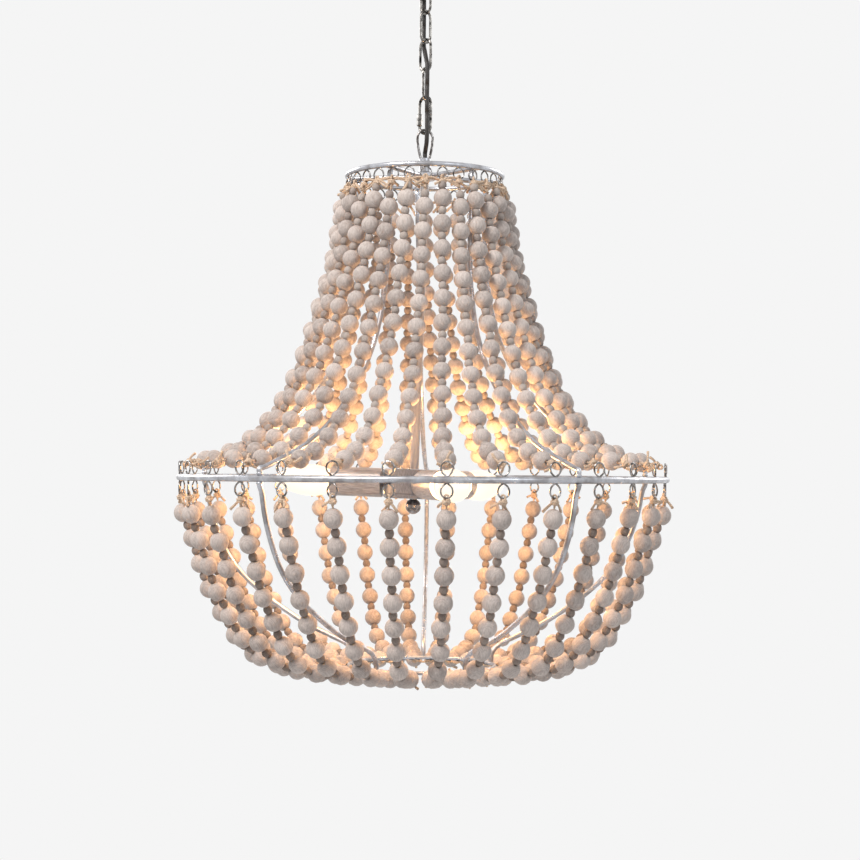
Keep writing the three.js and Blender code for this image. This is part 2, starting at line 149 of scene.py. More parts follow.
class Route:
    """A line of points that can be walked by length."""

    def __init__(self, points: Sequence[Vector]) -> None:
        """Measures the line."""
        self.points = list(points)
        self.marks = [0.0]
        for a, b in zip(self.points, self.points[1:]):
            self.marks.append(self.marks[-1] + (b - a).length)

    @property
    def length(self) -> float:
        """The whole length."""
        return self.marks[-1]

    def at(self, distance: float) -> Vector:
        """The place at a distance from the start."""
        distance = min(max(distance, 0.0), self.length)
        for i, mark in enumerate(self.marks[1:]):
            if mark >= distance:
                share = (distance - self.marks[i]) / max(mark - self.marks[i], 1e-9)
                return self.points[i].lerp(self.points[i + 1], share)
        return self.points[-1].copy()

    def along(self, distance: float, reach: float = 2 * MM) -> Vector:
        """The direction of travel at a distance from the start."""
        return (self.at(distance + reach) - self.at(distance - reach)).normalized()

    def between(self, start: float, end: float, steps: int) -> list[Vector]:
        """Points at even steps from one distance to another."""
        return [self.at(start + (end - start) * i / steps) for i in range(steps + 1)]


def upright(place: Vector, along: Vector, turn: float = 0.0) -> Matrix:
    """A matrix that stands local +Z along a direction at a place, turned about it."""
    stand = along.to_track_quat("Z", "Y").to_matrix().to_4x4()
    return Matrix.Translation(place) @ stand @ Matrix.Rotation(turn, 4, "Z")


# Forms


def frames_along(points: Sequence[Vector], closed: bool) -> list[Matrix]:
    """Turns a section square to a line at each of its points, without twist."""
    count = len(points)
    frames = []
    side = None
    for i, point in enumerate(points):
        before = points[(i - 1) % count] if closed or i else point
        after = points[(i + 1) % count] if closed or i < count - 1 else point
        into = (point - before).normalized()
        out = (after - point).normalized()
        along = (into + out).normalized()
        if side is None:
            side = along.orthogonal()
        side = (side - along * side.dot(along)).normalized()
        across = along.cross(side)
        frames.append(Matrix((
            (side.x, across.x, along.x, point.x),
            (side.y, across.y, along.y, point.y),
            (side.z, across.z, along.z, point.z),
            (0, 0, 0, 1),
        )))
    return frames


def tube(
    points: Sequence[Vector], radii: float | Sequence[float], sides: int = 10, closed: bool = False
) -> BMesh:
    """Sweeps a round section along a line.

    Args:
        points: the middle line.
        radii: one radius, or one for each point.
        sides: corners of the section.
        closed: whether the line runs back into itself.

    Returns:
        The rod as a closed bmesh.
    """
    sizes = [radii] * len(points) if isinstance(radii, (int, float)) else list(radii)
    frames = [frame @ Matrix.Diagonal((r, r, r, 1)) for frame, r in zip(frames_along(points, closed), sizes)]
    bm = bmesh.new()
    ring = bmesh.ops.create_circle(bm, segments=sides, radius=1, matrix=frames[0])["verts"]
    first = list(dict.fromkeys(edge for vert in ring for edge in vert.link_edges))
    edges = first
    for before, frame in zip(frames, frames[1:]):
        made = bmesh.ops.extrude_edge_only(bm, edges=edges)["geom"]
        verts = [item for item in made if isinstance(item, BMVert)]
        fresh = set(verts)
        edges = [e for e in made if isinstance(e, BMEdge) and set(e.verts) <= fresh]
        bmesh.ops.transform(bm, matrix=frame @ before.inverted(), verts=verts)
    if closed:
        bmesh.ops.bridge_loops(bm, edges=first + edges)
    else:
        bmesh.ops.holes_fill(bm, edges=first + edges, sides=sides)
    bmesh.ops.recalc_face_normals(bm, faces=bm.faces[:])
    return bm


def turned(profile: Sequence[tuple[float, float]], steps: int = 32, closed: bool = False) -> BMesh:
    """Turns a profile of (radius, height) points about +Z.

    Args:
        profile: the outline, which ends on the axis or runs back into itself.
        steps: facets round the axis.
        closed: whether the outline runs back into itself.

    Returns:
        The turned form as a closed bmesh.
    """
    bm = bmesh.new()
    verts = [bm.verts.new((r, 0, z)) for r, z in profile]
    edges = [bm.edges.new(pair) for pair in zip(verts, verts[1:])]
    if closed:
        edges.append(bm.edges.new((verts[-1], verts[0])))
    bmesh.ops.spin(
        bm, geom=verts + edges, cent=(0, 0, 0), axis=(0, 0, 1), angle=2 * math.pi, steps=steps, use_merge=True
    )
    bmesh.ops.remove_doubles(bm, verts=bm.verts[:], dist=0.001 * MM)
    bmesh.ops.recalc_face_normals(bm, faces=bm.faces[:])
    return bm


def arc(
    middle: tuple[float, float], radius: float, start: float, end: float, steps: int
) -> list[tuple[float, float]]:
    """Points of an arc in a profile, with angles in degrees from the outward direction."""
    turns = (math.radians(start + (end - start) * i / steps) for i in range(steps + 1))
    return [(middle[0] + radius * math.cos(t), middle[1] + radius * math.sin(t)) for t in turns]


def template(name: str, bm: BMesh) -> Mesh:
    """Keeps a form as a mesh, to stamp copies of."""
    mesh = bpy.data.meshes.new(name)
    bm.to_mesh(mesh)
    bm.free()
    return mesh


class Assembly:
    """One mesh put together from stamped forms."""

    def __init__(self, patterned: bool = False) -> None:
        """Starts empty. A patterned one keeps a tone and a grain place on each point."""
        self.bm = bmesh.new()
        self.patterned = patterned
        if patterned:
            self.tone = self.bm.verts.layers.float.new("tone")
            self.grain = self.bm.verts.layers.float_vector.new("grain")

    def stamp(
        self,
        form: Mesh | BMesh,
        matrix: Matrix | None = None,
        finish: int = 0,
        tone: float = 0.5,
        grain: Vector | None = None,
    ) -> None:
        """Adds a copy of a form.

        Args:
            form: a template, or a bmesh that is used up.
            matrix: where it goes.
            finish: which of the piece's materials it takes.
            tone: the shade of this copy, from 0 to 1.
            grain: where this copy lies in the pattern, or None for a form without one.
        """
        mesh = form
        if isinstance(form, BMesh):
            mesh = template("form", form)
        verts, faces = len(self.bm.verts), len(self.bm.faces)
        self.bm.from_mesh(mesh)
        self.bm.verts.ensure_lookup_table()
        self.bm.faces.ensure_lookup_table()
        added = self.bm.verts[verts:]
        if self.patterned:
            scale = 1 / max(max(abs(c) for v in added for c in v.co), 1e-9)
            for vert in added:
                vert[self.tone] = tone
                vert[self.grain] = vert.co * scale + (grain or Vector())
        if matrix is not None:
            bmesh.ops.transform(self.bm, matrix=matrix, verts=added)
        for face in self.bm.faces[faces:]:
            face.material_index = finish
            face.smooth = True
        if mesh is not form:
            bpy.data.meshes.remove(mesh)

    def piece(self, name: str, materials: Sequence[Material]) -> Object:
        """Makes the object of the whole mesh."""
        mesh = bpy.data.meshes.new(name)
        self.bm.to_mesh(mesh)
        self.bm.free()
        for material in materials:
            mesh.materials.append(material)
        made = bpy.data.objects.new(name, mesh)
        bpy.context.scene.collection.objects.link(made)
        return made


def sharpened(piece: Object, angle: float = 40) -> Object:
    """Keeps the edges sharper than an angle in degrees hard, and shades the rest smooth."""
    mesh = piece.data
    bm = bmesh.new()
    bm.from_mesh(mesh)
    for edge in bm.edges:
        edge.smooth = len(edge.link_faces) == 2 and edge.calc_face_angle(0) < math.radians(angle)
    bm.to_mesh(mesh)
    bm.free()
    return piece


def dress(piece: Object, body: str, slot: Slot, *nodes: str) -> Object:
    """Sets what a piece rides on, and hides the nodes that it stands for."""
    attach(piece, body)
    if nodes:
        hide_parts(*nodes)
    log.info("%s on %s", piece.name, body)
    return piece


# Shared effects


def link(tree: NodeTree, start: NodeSocket, end: NodeSocket) -> None:
    """Joins two sockets."""
    tree.links.new(start, end)


def node(tree: NodeTree, kind: str, **values: object) -> Node:
    """Adds a node with its settings, and with input values by name given as in_name."""
    made = tree.nodes.new(kind)
    for name, value in values.items():
        if name.startswith("in_"):
            made.inputs[name[3:].replace("_", " ")].default_value = value
        else:
            setattr(made, name, value)
    return made


def ramp(
    tree: NodeTree, source: NodeSocket, stops: Sequence[tuple[float, tuple]]
) -> Node:
    """Adds a colour ramp with its stops as (place, colour)."""
    made = tree.nodes.new("ShaderNodeValToRGB")
    elements = made.color_ramp.elements
    while len(elements) < len(stops):
        elements.new(1.0)
    for element, (place, colour) in zip(elements, stops):
        element.position = place
        element.color = (*colour, 1)
    link(tree, source, made.inputs["Fac"])
    return made


def mixed(
    tree: NodeTree, factor: object, first: object, second: object, blend: str = "MIX"
) -> NodeSocket:
    """Mixes two colours, each given as a socket or as a value, and gives the result's socket."""
    made = tree.nodes.new("ShaderNodeMix")
    made.data_type = "RGBA"
    made.blend_type = blend
    for index, value in ((0, factor), (6, first), (7, second)):
        if isinstance(value, NodeSocket):
            link(tree, value, made.inputs[index])
        elif index:
            made.inputs[index].default_value = (*value, 1)
        else:
            made.inputs[index].default_value = value
    return made.outputs[2]


class Effects:
    """The node groups that several finishes share, each built once."""

    _built: dict[str, NodeTree] = {}
    finer_specks: float = 9.0  # times the scale of the patches
    grain_stretch: tuple[float, float, float] = (1, 1, 0.16)

    @classmethod
    def get(
        cls, name: str, build: Callable[[NodeTree], None], inputs: dict, outputs: dict
    ) -> NodeTree:
        """Gives a group by name, and builds it the first time.

        Args:
            name: the group's name.
            build: fills the group's tree.
            inputs: each input's socket type and starting value by name.
            outputs: each output's socket type by name.

        Returns:
            The node group.
        """
        if name in cls._built:
            return cls._built[name]
        tree = bpy.data.node_groups.new(name, "ShaderNodeTree")
        for label, (kind, value) in inputs.items():
            socket = tree.interface.new_socket(name=label, in_out="INPUT", socket_type=kind)
            if value is not None:
                socket.default_value = value
        for label, kind in outputs.items():
            tree.interface.new_socket(name=label, in_out="OUTPUT", socket_type=kind)
        build(tree)
        cls._built[name] = tree
        return tree

    @classmethod
    def mottle(cls) -> NodeTree:
        """Cloudy patches and fine specks as a mask and a height."""

        def build(tree: NodeTree) -> None:
            """Fills the group."""
            given = node(tree, "NodeGroupInput")
            out = node(tree, "NodeGroupOutput")
            coarse = node(tree, "ShaderNodeTexNoise", in_Detail=4.0, in_Roughness=0.6)
            fine = node(tree, "ShaderNodeTexNoise", in_Detail=3.0, in_Roughness=0.7)
            step = node(tree, "ShaderNodeMath", operation="MULTIPLY")
            step.inputs[1].default_value = cls.finer_specks
            link(tree, given.outputs["Place"], coarse.inputs["Vector"])
            link(tree, given.outputs["Place"], fine.inputs["Vector"])
            link(tree, given.outputs["Scale"], coarse.inputs["Scale"])
            link(tree, given.outputs["Scale"], step.inputs[0])
            link(tree, step.outputs[0], fine.inputs["Scale"])
            mask = node(tree, "ShaderNodeMapRange")
            for name, value in (("From Min", 0.36), ("From Max", 0.64)):
                mask.inputs[name].default_value = value
            link(tree, coarse.outputs["Fac"], mask.inputs["Value"])
            link(tree, mask.outputs["Result"], out.inputs["Mask"])
            link(tree, fine.outputs["Fac"], out.inputs["Height"])

        return cls.get(
            "mottle",
            build,
            {"Place": ("NodeSocketVector", None), "Scale": ("NodeSocketFloat", 60.0)},
            {"Mask": "NodeSocketFloat", "Height": "NodeSocketFloat"},
        )

    @classmethod
    def grain(cls) -> NodeTree:
        """Wood grain that runs along local Z, as streaks, pale wash and a height."""

        def build(tree: NodeTree) -> None:
            """Fills the group."""
            given = node(tree, "NodeGroupInput")
            out = node(tree, "NodeGroupOutput")
            stretch = node(tree, "ShaderNodeVectorMath", operation="MULTIPLY")
            stretch.inputs[1].default_value = cls.grain_stretch
            link(tree, given.outputs["Place"], stretch.inputs[0])
            streaks = node(
                tree, "ShaderNodeTexNoise", in_Scale=7.0, in_Detail=5.0, in_Roughness=0.65, in_Distortion=0.5
            )
            wash = node(tree, "ShaderNodeTexNoise", in_Scale=2.6, in_Detail=4.0, in_Roughness=0.7)
            rings = node(tree, "ShaderNodeTexWave", in_Scale=2.0, in_Distortion=3.5, in_Detail=2.5)
            rings.bands_direction = "X"
            link(tree, stretch.outputs[0], streaks.inputs["Vector"])
            link(tree, given.outputs["Place"], rings.inputs["Vector"])
            link(tree, given.outputs["Place"], wash.inputs["Vector"])
            link(tree, rings.outputs["Fac"], out.inputs["Rings"])
            link(tree, streaks.outputs["Fac"], out.inputs["Streaks"])
            link(tree, wash.outputs["Fac"], out.inputs["Wash"])

        return cls.get(
            "wood grain",
            build,
            {"Place": ("NodeSocketVector", None)},
            {"Streaks": "NodeSocketFloat", "Rings": "NodeSocketFloat", "Wash": "NodeSocketFloat"},
        )


# Finishes


class Finish:
    """The start of every finish: a material with its Principled shader."""

    name: str

    def start(self) -> tuple[Material, NodeTree, Node]:
        """Makes an empty material.

        Returns:
            The material, its tree and its Principled shader.
        """
        material = bpy.data.materials.new(self.name)
        material.use_nodes = True
        tree = material.node_tree
        return material, tree, tree.nodes["Principled BSDF"]

    def bumped(
        self,
        tree: NodeTree,
        shader: Node,
        height: NodeSocket,
        depth: float,
        strength: float,
    ) -> None:
        """Drives the shader's normal by a height.

        Args:
            tree: the material's tree.
            shader: its Principled shader.
            height: what gives the height.
            depth: how deep the pattern is.
            strength: how much of it shows.
        """
        bump = node(tree, "ShaderNodeBump", in_Distance=depth, in_Strength=strength)
        link(tree, height, bump.inputs["Height"])
        link(tree, bump.outputs["Normal"], shader.inputs["Normal"])


@dataclass(frozen=True)
class WornMetal(Finish):
    """Metal with cloudy tarnish and fine brush marks."""

    name: str
    bright: tuple[float, float, float]
    dull: tuple[float, float, float]
    roughness: tuple[float, float] = (0.28, 0.5)
    patch_scale: float = 90.0
    metallic: float = 0.9
    depth: float = 0.00012

    def build(self) -> Material:
        """The finished material."""
        material, tree, shader = self.start()
        place = node(tree, "ShaderNodeTexCoord")
        mottle = node(tree, "ShaderNodeGroup", node_tree=Effects.mottle())
        mottle.inputs["Scale"].default_value = self.patch_scale
        link(tree, place.outputs["Object"], mottle.inputs["Place"])
        link(tree, mixed(tree, mottle.outputs["Mask"], self.bright, self.dull), shader.inputs["Base Color"])
        spread = node(tree, "ShaderNodeMapRange")
        spread.inputs["To Min"].default_value, spread.inputs["To Max"].default_value = self.roughness
        link(tree, mottle.outputs["Mask"], spread.inputs["Value"])
        link(tree, spread.outputs["Result"], shader.inputs["Roughness"])
        shader.inputs["Metallic"].default_value = self.metallic
        self.bumped(tree, shader, mottle.outputs["Height"], self.depth, 0.5)
        return material


@dataclass(frozen=True)
class WashedWood(Finish):
    """Bare turned wood under a thin pale wash. Each bead's tone and place come from its attributes."""

    name: str
    pale: tuple[float, float, float]
    bare: tuple[float, float, float]
    line: tuple[float, float, float]
    roughness: float = 0.82
    depth: float = 0.0006

    def build(self) -> Material:
        """The finished material."""
        material, tree, shader = self.start()
        place = node(tree, "ShaderNodeAttribute", attribute_name="grain")
        tone = node(tree, "ShaderNodeAttribute", attribute_name="tone")
        grain = node(tree, "ShaderNodeGroup", node_tree=Effects.grain())
        link(tree, place.outputs["Vector"], grain.inputs["Place"])
        shade = mixed(tree, tone.outputs["Fac"], self.pale, self.bare)
        streak = ramp(tree, grain.outputs["Streaks"], [(0.42, (0, 0, 0)), (0.62, (1, 1, 1))])
        lined = mixed(tree, streak.outputs["Color"], shade, self.line)
        turning = ramp(tree, grain.outputs["Rings"], [(0.3, (0.88, 0.86, 0.85)), (0.6, (1, 1, 1))])
        softened = mixed(tree, 1.0, mixed(tree, 0.4, shade, lined), turning.outputs["Color"], "MULTIPLY")
        wash = ramp(tree, grain.outputs["Wash"], [(0.45, (0, 0, 0)), (0.68, (0.55, 0.55, 0.55))])
        washed = mixed(tree, wash.outputs["Color"], softened, self.pale)
        link(tree, washed, shader.inputs["Base Color"])
        shader.inputs["Roughness"].default_value = self.roughness
        shader.inputs["Specular IOR Level"].default_value = 0.25
        self.bumped(tree, shader, grain.outputs["Streaks"], self.depth, 0.35)
        return material


@dataclass(frozen=True)
class Jute(Finish):
    """Hairy natural twine."""

    name: str = "natural twine"
    pale: tuple[float, float, float] = (0.8, 0.62, 0.46)
    dark: tuple[float, float, float] = (0.42, 0.28, 0.19)

    def build(self) -> Material:
        """The finished material."""
        material, tree, shader = self.start()
        place = node(tree, "ShaderNodeTexCoord")
        fibres = node(tree, "ShaderNodeTexNoise", in_Scale=1400.0, in_Detail=3.0)
        link(tree, place.outputs["Object"], fibres.inputs["Vector"])
        shade = ramp(tree, fibres.outputs["Fac"], [(0.35, self.dark), (0.62, self.pale)])
        link(tree, shade.outputs["Color"], shader.inputs["Base Color"])
        shader.inputs["Roughness"].default_value = 0.9
        shader.inputs["Specular IOR Level"].default_value = 0.2
        self.bumped(tree, shader, fibres.outputs["Fac"], 0.0006, 0.7)
        return material


@dataclass(frozen=True)
class PearlSleeve(Finish):
    """Pale silver lacquer over the lamps' metal, with fine streaks that run along each piece."""

    name: str
    bright: tuple[float, float, float] = (0.54, 0.5, 0.48)
    dull: tuple[float, float, float] = (0.31, 0.28, 0.27)

    def build(self) -> Material:
        """The finished material."""
        material, tree, shader = self.start()
        place = node(tree, "ShaderNodeAttribute", attribute_name="grain")
        finer = node(tree, "ShaderNodeVectorMath", operation="SCALE", in_Scale=7.0)
        grain = node(tree, "ShaderNodeGroup", node_tree=Effects.grain())
        link(tree, place.outputs["Vector"], finer.inputs[0])
        link(tree, finer.outputs["Vector"], grain.inputs["Place"])
        streak = ramp(tree, grain.outputs["Streaks"], [(0.36, (0, 0, 0)), (0.62, (1, 1, 1))])
        link(tree, mixed(tree, streak.outputs["Color"], self.bright, self.dull), shader.inputs["Base Color"])
        shader.inputs["Metallic"].default_value = 0.45
        shader.inputs["Roughness"].default_value = 0.36
        self.bumped(tree, shader, grain.outputs["Streaks"], 0.0002, 0.4)
        return material


@dataclass(frozen=True)
class Glazed(Finish):
    """A plain glazed or moulded surface with faint clouding."""

    name: str
    colour: tuple[float, float, float]
    shade: tuple[float, float, float]
    roughness: float = 0.3
    patch_scale: float = 80.0

    def build(self) -> Material:
        """The finished material."""
        material, tree, shader = self.start()
        place = node(tree, "ShaderNodeTexCoord")
        mottle = node(tree, "ShaderNodeGroup", node_tree=Effects.mottle())
        mottle.inputs["Scale"].default_value = self.patch_scale
        link(tree, place.outputs["Object"], mottle.inputs["Place"])
        link(tree, mixed(tree, mottle.outputs["Mask"], self.colour, self.shade), shader.inputs["Base Color"])
        shader.inputs["Roughness"].default_value = self.roughness
        self.bumped(tree, shader, mottle.outputs["Height"], 0.0001, 0.3)
        return material


@dataclass(frozen=True)
class LitGlass(Finish):
    """Frosted glass lit from inside. It looks cream at its rim, and throws warm light on what is round it."""

    name: str = "lit glass"
    core: tuple[float, float, float] = (1.0, 0.96, 0.86)
    rim: tuple[float, float, float] = (1.0, 0.8, 0.48)
    thrown: tuple[float, float, float] = (1.0, 0.55, 0.22)
    shown_strength: float = 0.95
    thrown_strength: float = 68.0

    def build(self) -> Material:
        """The finished material."""
        material, tree, shader = self.start()
        facing = node(tree, "ShaderNodeLayerWeight", in_Blend=0.3)
        path = node(tree, "ShaderNodeLightPath")
        shown = mixed(tree, facing.outputs["Facing"], self.core, self.rim)
        colour = mixed(tree, path.outputs["Is Camera Ray"], self.thrown, shown)
        link(tree, colour, shader.inputs["Emission Color"])
        strength = node(tree, "ShaderNodeMapRange")
        strength.inputs["To Min"].default_value = self.thrown_strength
        strength.inputs["To Max"].default_value = self.shown_strength
        link(tree, path.outputs["Is Camera Ray"], strength.inputs["Value"])
        link(tree, strength.outputs["Result"], shader.inputs["Emission Strength"])
        shader.inputs["Base Color"].default_value = (0.3, 0.28, 0.24, 1)
        shader.inputs["Roughness"].default_value = 0.12
        return material


class Palette:
    """Every finish of the light, built once."""

    def __init__(self) -> None:
        """Builds the materials."""
        self.silver = WornMetal(
            "brushed silver paint", (0.56, 0.57, 0.61), (0.29, 0.28, 0.285),
            roughness=(0.24, 0.4), patch_scale=60.0, metallic=0.82, depth=0.00002,
        ).build()
        self.rose = WornMetal(
            "satin silver paint", (0.5, 0.51, 0.54), (0.41, 0.405, 0.41),
            roughness=(0.32, 0.42), patch_scale=22.0, metallic=0.8, depth=0.000004,
        ).build()
        self.chain = WornMetal(
            "chain steel", (0.38, 0.36, 0.335), (0.014, 0.012, 0.011),
            roughness=(0.16, 0.32), patch_scale=150.0, metallic=1.0,
        ).build()
        self.eye = WornMetal(
            "eye wire", (0.42, 0.4, 0.39), (0.06, 0.05, 0.045),
            roughness=(0.14, 0.3), patch_scale=200.0, metallic=1.0,
        ).build()
        self.cap = WornMetal(
            "screw cap", (0.62, 0.5, 0.3), (0.4, 0.3, 0.16),
            roughness=(0.25, 0.4), patch_scale=200.0, metallic=1.0,
        ).build()
        self.bead = WashedWood(
            "washed wood", (0.67, 0.585, 0.53), (0.43, 0.37, 0.335), (0.3, 0.24, 0.21)
        ).build()
        self.small_beads = {
            Tier.UPPER: WashedWood(
                "small beads above", (0.52, 0.45, 0.4), (0.34, 0.28, 0.25), (0.2, 0.16, 0.13)
            ).build(),
            # The bowl's small beads are a darker copy of the same wood: painted shade for the bowl under the
            # widest ring.
            Tier.LOWER: WashedWood(
                "small beads below in painted shade", (0.38, 0.31, 0.265), (0.22, 0.17, 0.14), (0.13, 0.1, 0.08)
            ).build(),
        }
        self.twine = Jute().build()
        self.sleeve = PearlSleeve("pearl sleeve").build()
        # The drum takes the sleeves' own pearl lacquer made darker: painted shade for the drum, which sits in
        # shade among the sleeves.
        self.drum = PearlSleeve("pearl drum in painted shade", (0.36, 0.345, 0.35), (0.22, 0.205, 0.21)).build()
        self.ceramic = Glazed("glazed ceramic", (0.78, 0.75, 0.7), (0.7, 0.66, 0.6), roughness=0.25).build()
        self.glass = LitGlass().build()
        self.cable = Glazed(
            "dark flex", (0.012, 0.01, 0.009), (0.022, 0.017, 0.014), roughness=0.55, patch_scale=200.0
        ).build()


# Sizes that the sub-assemblies share


@dataclass
class Skeleton:
    """The rings and heights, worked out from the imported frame."""

    drop: float = field(init=False)
    middle_radius: float = field(init=False)
    middle_rod: float = 7 * MM
    bottom_radius: float = 80 * MM
    bottom_depth: float = field(init=False)
    bottom_rod: float = 4 * MM
    packed_rod_sides: int = 6
    top_radius: float = 85 * MM
    top_height: float = field(init=False)
    top_rod: float = 5.5 * MM
    rib_rod: float = 5.5 * MM
    rib_count: int = 5
    rib_inset: float = 11 * MM
    front_rib_angle: float = math.radians(34.9)
    crown_turn: float = math.radians(8)
    crown_hub_height: float = 8 * MM
    overlap: float = 1 * MM  # how far a welded wire runs into what carries it
    fit: float = 0.3 * MM

    def __post_init__(self) -> None:
        """Reads the rings' boxes."""
        low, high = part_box("middle_ring")
        self.drop = -(low.z + high.z) / 2
        self.middle_radius = (high.x - low.x - self.middle_rod) / 2
        low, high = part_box("top_ring")
        self.top_height = (low.z + high.z) / 2 + self.drop
        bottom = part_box("lower_frame")[0]
        flat = math.cos(math.pi / self.packed_rod_sides)
        self.bottom_depth = -(bottom.z + self.drop) - self.bottom_rod / 2 * flat

    def lift(self, matrix: Matrix | None = None) -> Matrix:
        """A matrix from the lantern's own height, with zero at the middle ring, to the part's."""
        down = Matrix.Translation((0, 0, -self.drop))
        return down if matrix is None else down @ matrix

    def outline(
        self,
        shares: Iterable[tuple[float, float]],
        inner: float,
        height: float,
        angle: float,
        twist: float = 0.0,
    ) -> list[Vector]:
        """Places an outline of shares between an inner ring and the middle ring.

        Args:
            shares: each point's way out from the inner ring, and its way to the height.
            inner: the inner ring's radius.
            height: the inner ring's height.
            angle: where the outline stands, from the front.
            twist: how far it has turned at the inner ring.

        Returns:
            The outline's points.
        """
        wide = self.middle_radius - inner
        return [polar(inner + out * wide, up * height, angle + twist * up) for out, up in shares]

    def rib_angles(self) -> list[float]:
        """The ribs' angles from the front."""
        return [self.front_rib_angle + 2 * math.pi * i / self.rib_count for i in range(self.rib_count)]


# The frame


@dataclass
class Frame:
    """The three rings, the ribs, the spokes and the welds."""

    skeleton: Skeleton
    palette: Palette
    ring_steps: int = 120
    section: int = 14
    upper_rib_shares: tuple = (
        (-0.061, 0.899), (-0.055, 0.698), (-0.03, 0.59), (0.01, 0.497), (0.07, 0.416),
        (0.172, 0.324), (0.325, 0.228), (0.53, 0.137), (0.715, 0.084), (0.89, 0.049), (0.96, 0.035),
    )
    lower_rib_shares: tuple = (
        (0.985, 0.06), (0.955, 0.182), (0.908, 0.303), (0.835, 0.43), (0.735, 0.54), (0.6, 0.64),
        (0.45, 0.73), (0.3, 0.805), (0.15, 0.862), (0.045, 0.905), (0.008, 0.945),
    )
    hub_radius: float = 12 * MM
    hub_bevel: float = 1.2 * MM
    weld_size: float = 3.4 * MM
    weld_flatness: float = 0.7

    def ring(self, radius: float, rod: float, height: float) -> BMesh:
        """A round rod bent to a ring."""
        section = arc((radius, height), rod / 2, 0, 360, self.section)[:-1]
        return turned(section, self.ring_steps, closed=True)

    def weld(self) -> BMesh:
        """A small smooth bead of weld."""
        bm = bmesh.new()
        bmesh.ops.create_icosphere(bm, subdivisions=2, radius=self.weld_size)
        bmesh.ops.scale(bm, vec=(1, 1, self.weld_flatness), verts=bm.verts[:])
        return bm

    def build_middle_ring(self) -> Object:
        """The widest ring."""
        s = self.skeleton
        made = Assembly()
        made.stamp(self.ring(s.middle_radius, s.middle_rod, 0), s.lift())
        return dress(made.piece("widest_ring", [self.palette.silver]), LANTERN, Slot.SILVER, "middle_ring")

    def build_top_ring(self) -> Object:
        """The small ring with its spokes and hub."""
        s = self.skeleton
        made = Assembly()
        made.stamp(self.ring(s.top_radius, s.top_rod, s.top_height), s.lift())
        bevel = self.hub_bevel
        half = s.crown_hub_height / 2
        hub = turned([
            (0, -half), (self.hub_radius - bevel, -half), (self.hub_radius, -half + bevel),
            (self.hub_radius, half - bevel), (self.hub_radius - bevel, half), (0, half),
        ])
        made.stamp(hub, s.lift(Matrix.Translation((0, 0, s.top_height))))
        for rib_angle in s.rib_angles():
            angle = rib_angle + s.crown_turn
            ends = (self.hub_radius - s.overlap, s.top_radius - s.overlap)
            spoke = [polar(r, s.top_height, angle) for r in ends]
            made.stamp(tube(spoke, s.rib_rod / 2), s.lift())
            for radius in (self.hub_radius, s.top_radius - s.top_rod / 2):
                made.stamp(self.weld(), s.lift(Matrix.Translation(polar(radius, s.top_height, angle))))
        piece = sharpened(made.piece("crown_ring", [self.palette.silver]))
        return dress(piece, LANTERN, Slot.SILVER, "top_ring")

    def build_upper_rib(self, number: int, angle: float) -> Object:
        """One long rib from the crown to the widest ring."""
        s = self.skeleton
        ring_top = s.middle_rod / 2 + s.fit
        line = through([
            polar(s.top_radius - s.rib_inset, s.top_height - s.rib_rod / 2 - s.fit, angle + s.crown_turn),
            *s.outline(self.upper_rib_shares, s.top_radius, s.top_height, angle, s.crown_turn),
            polar(s.middle_radius, ring_top + s.rib_rod, angle),
            polar(s.middle_radius, ring_top, angle),
        ], 5)
        made = Assembly()
        made.stamp(tube(line, s.rib_rod / 2), s.lift())
        made.stamp(self.weld(), s.lift(Matrix.Translation(line[-1] + Vector((0, 0, s.overlap)))))
        piece = made.piece(f"long_rib_{number}", [self.palette.silver])
        return dress(piece, LANTERN, Slot.SILVER, f"upper_rib_{number}")

    def build_lower_frame(self) -> Object:
        """The bottom ring and the ribs of the bowl."""
        s = self.skeleton
        made = Assembly()
        made.stamp(self.ring(s.bottom_radius, s.bottom_rod, -s.bottom_depth), s.lift())
        for angle in s.rib_angles():
            top = -s.middle_rod / 2 - s.fit
            line = through([
                polar(s.middle_radius, top, angle),
                polar(s.middle_radius, top - s.rib_rod / 2, angle),
                *s.outline(self.lower_rib_shares, s.bottom_radius, -s.bottom_depth, angle),
                polar(s.bottom_radius, -s.bottom_depth, angle),
            ], 5)
            made.stamp(tube(line, s.rib_rod / 2), s.lift())
            for place in (line[0] - Vector((0, 0, s.overlap)), line[-1]):
                made.stamp(self.weld(), s.lift(Matrix.Translation(place)))
        piece = made.piece("bowl_frame", [self.palette.silver])
        return dress(piece, LANTERN, Slot.SILVER, "lower_frame")

    def build(self) -> None:
        """Makes the whole frame."""
        self.build_middle_ring()
        self.build_top_ring()
        for i, angle in enumerate(self.skeleton.rib_angles()):
            self.build_upper_rib(i + 1, angle)
        self.build_lower_frame()


# The bead curtains


@dataclass
class Eye:
    """A wire eye welded to a ring, with its point at the rod and its loop away from it."""

    wire: float = 1.9 * MM
    across: float = 13.4 * MM
    tall: float = 14.8 * MM

    def form(self) -> BMesh:
        """The loop in the XZ plane, hanging down from the origin."""
        wide = (self.across - self.wire) / 2
        high = self.tall - self.wire / 2
        shares = ((0.1, 0), (0.5, 0.12), (0.86, 0.3), (1, 0.54), (0.88, 0.77), (0.52, 0.94), (0, 1))
        side = [Vector((wide * out, 0, -high * down)) for out, down in shares]
        other = [Vector((-v.x, 0.2 * self.wire, v.z)) for v in side[-2::-1]]
        stub = Vector((0, 0, self.wire))
        return tube([side[0] + stub, *through([*side, *other], 3), other[-1] + stub], self.wire / 2, 6)


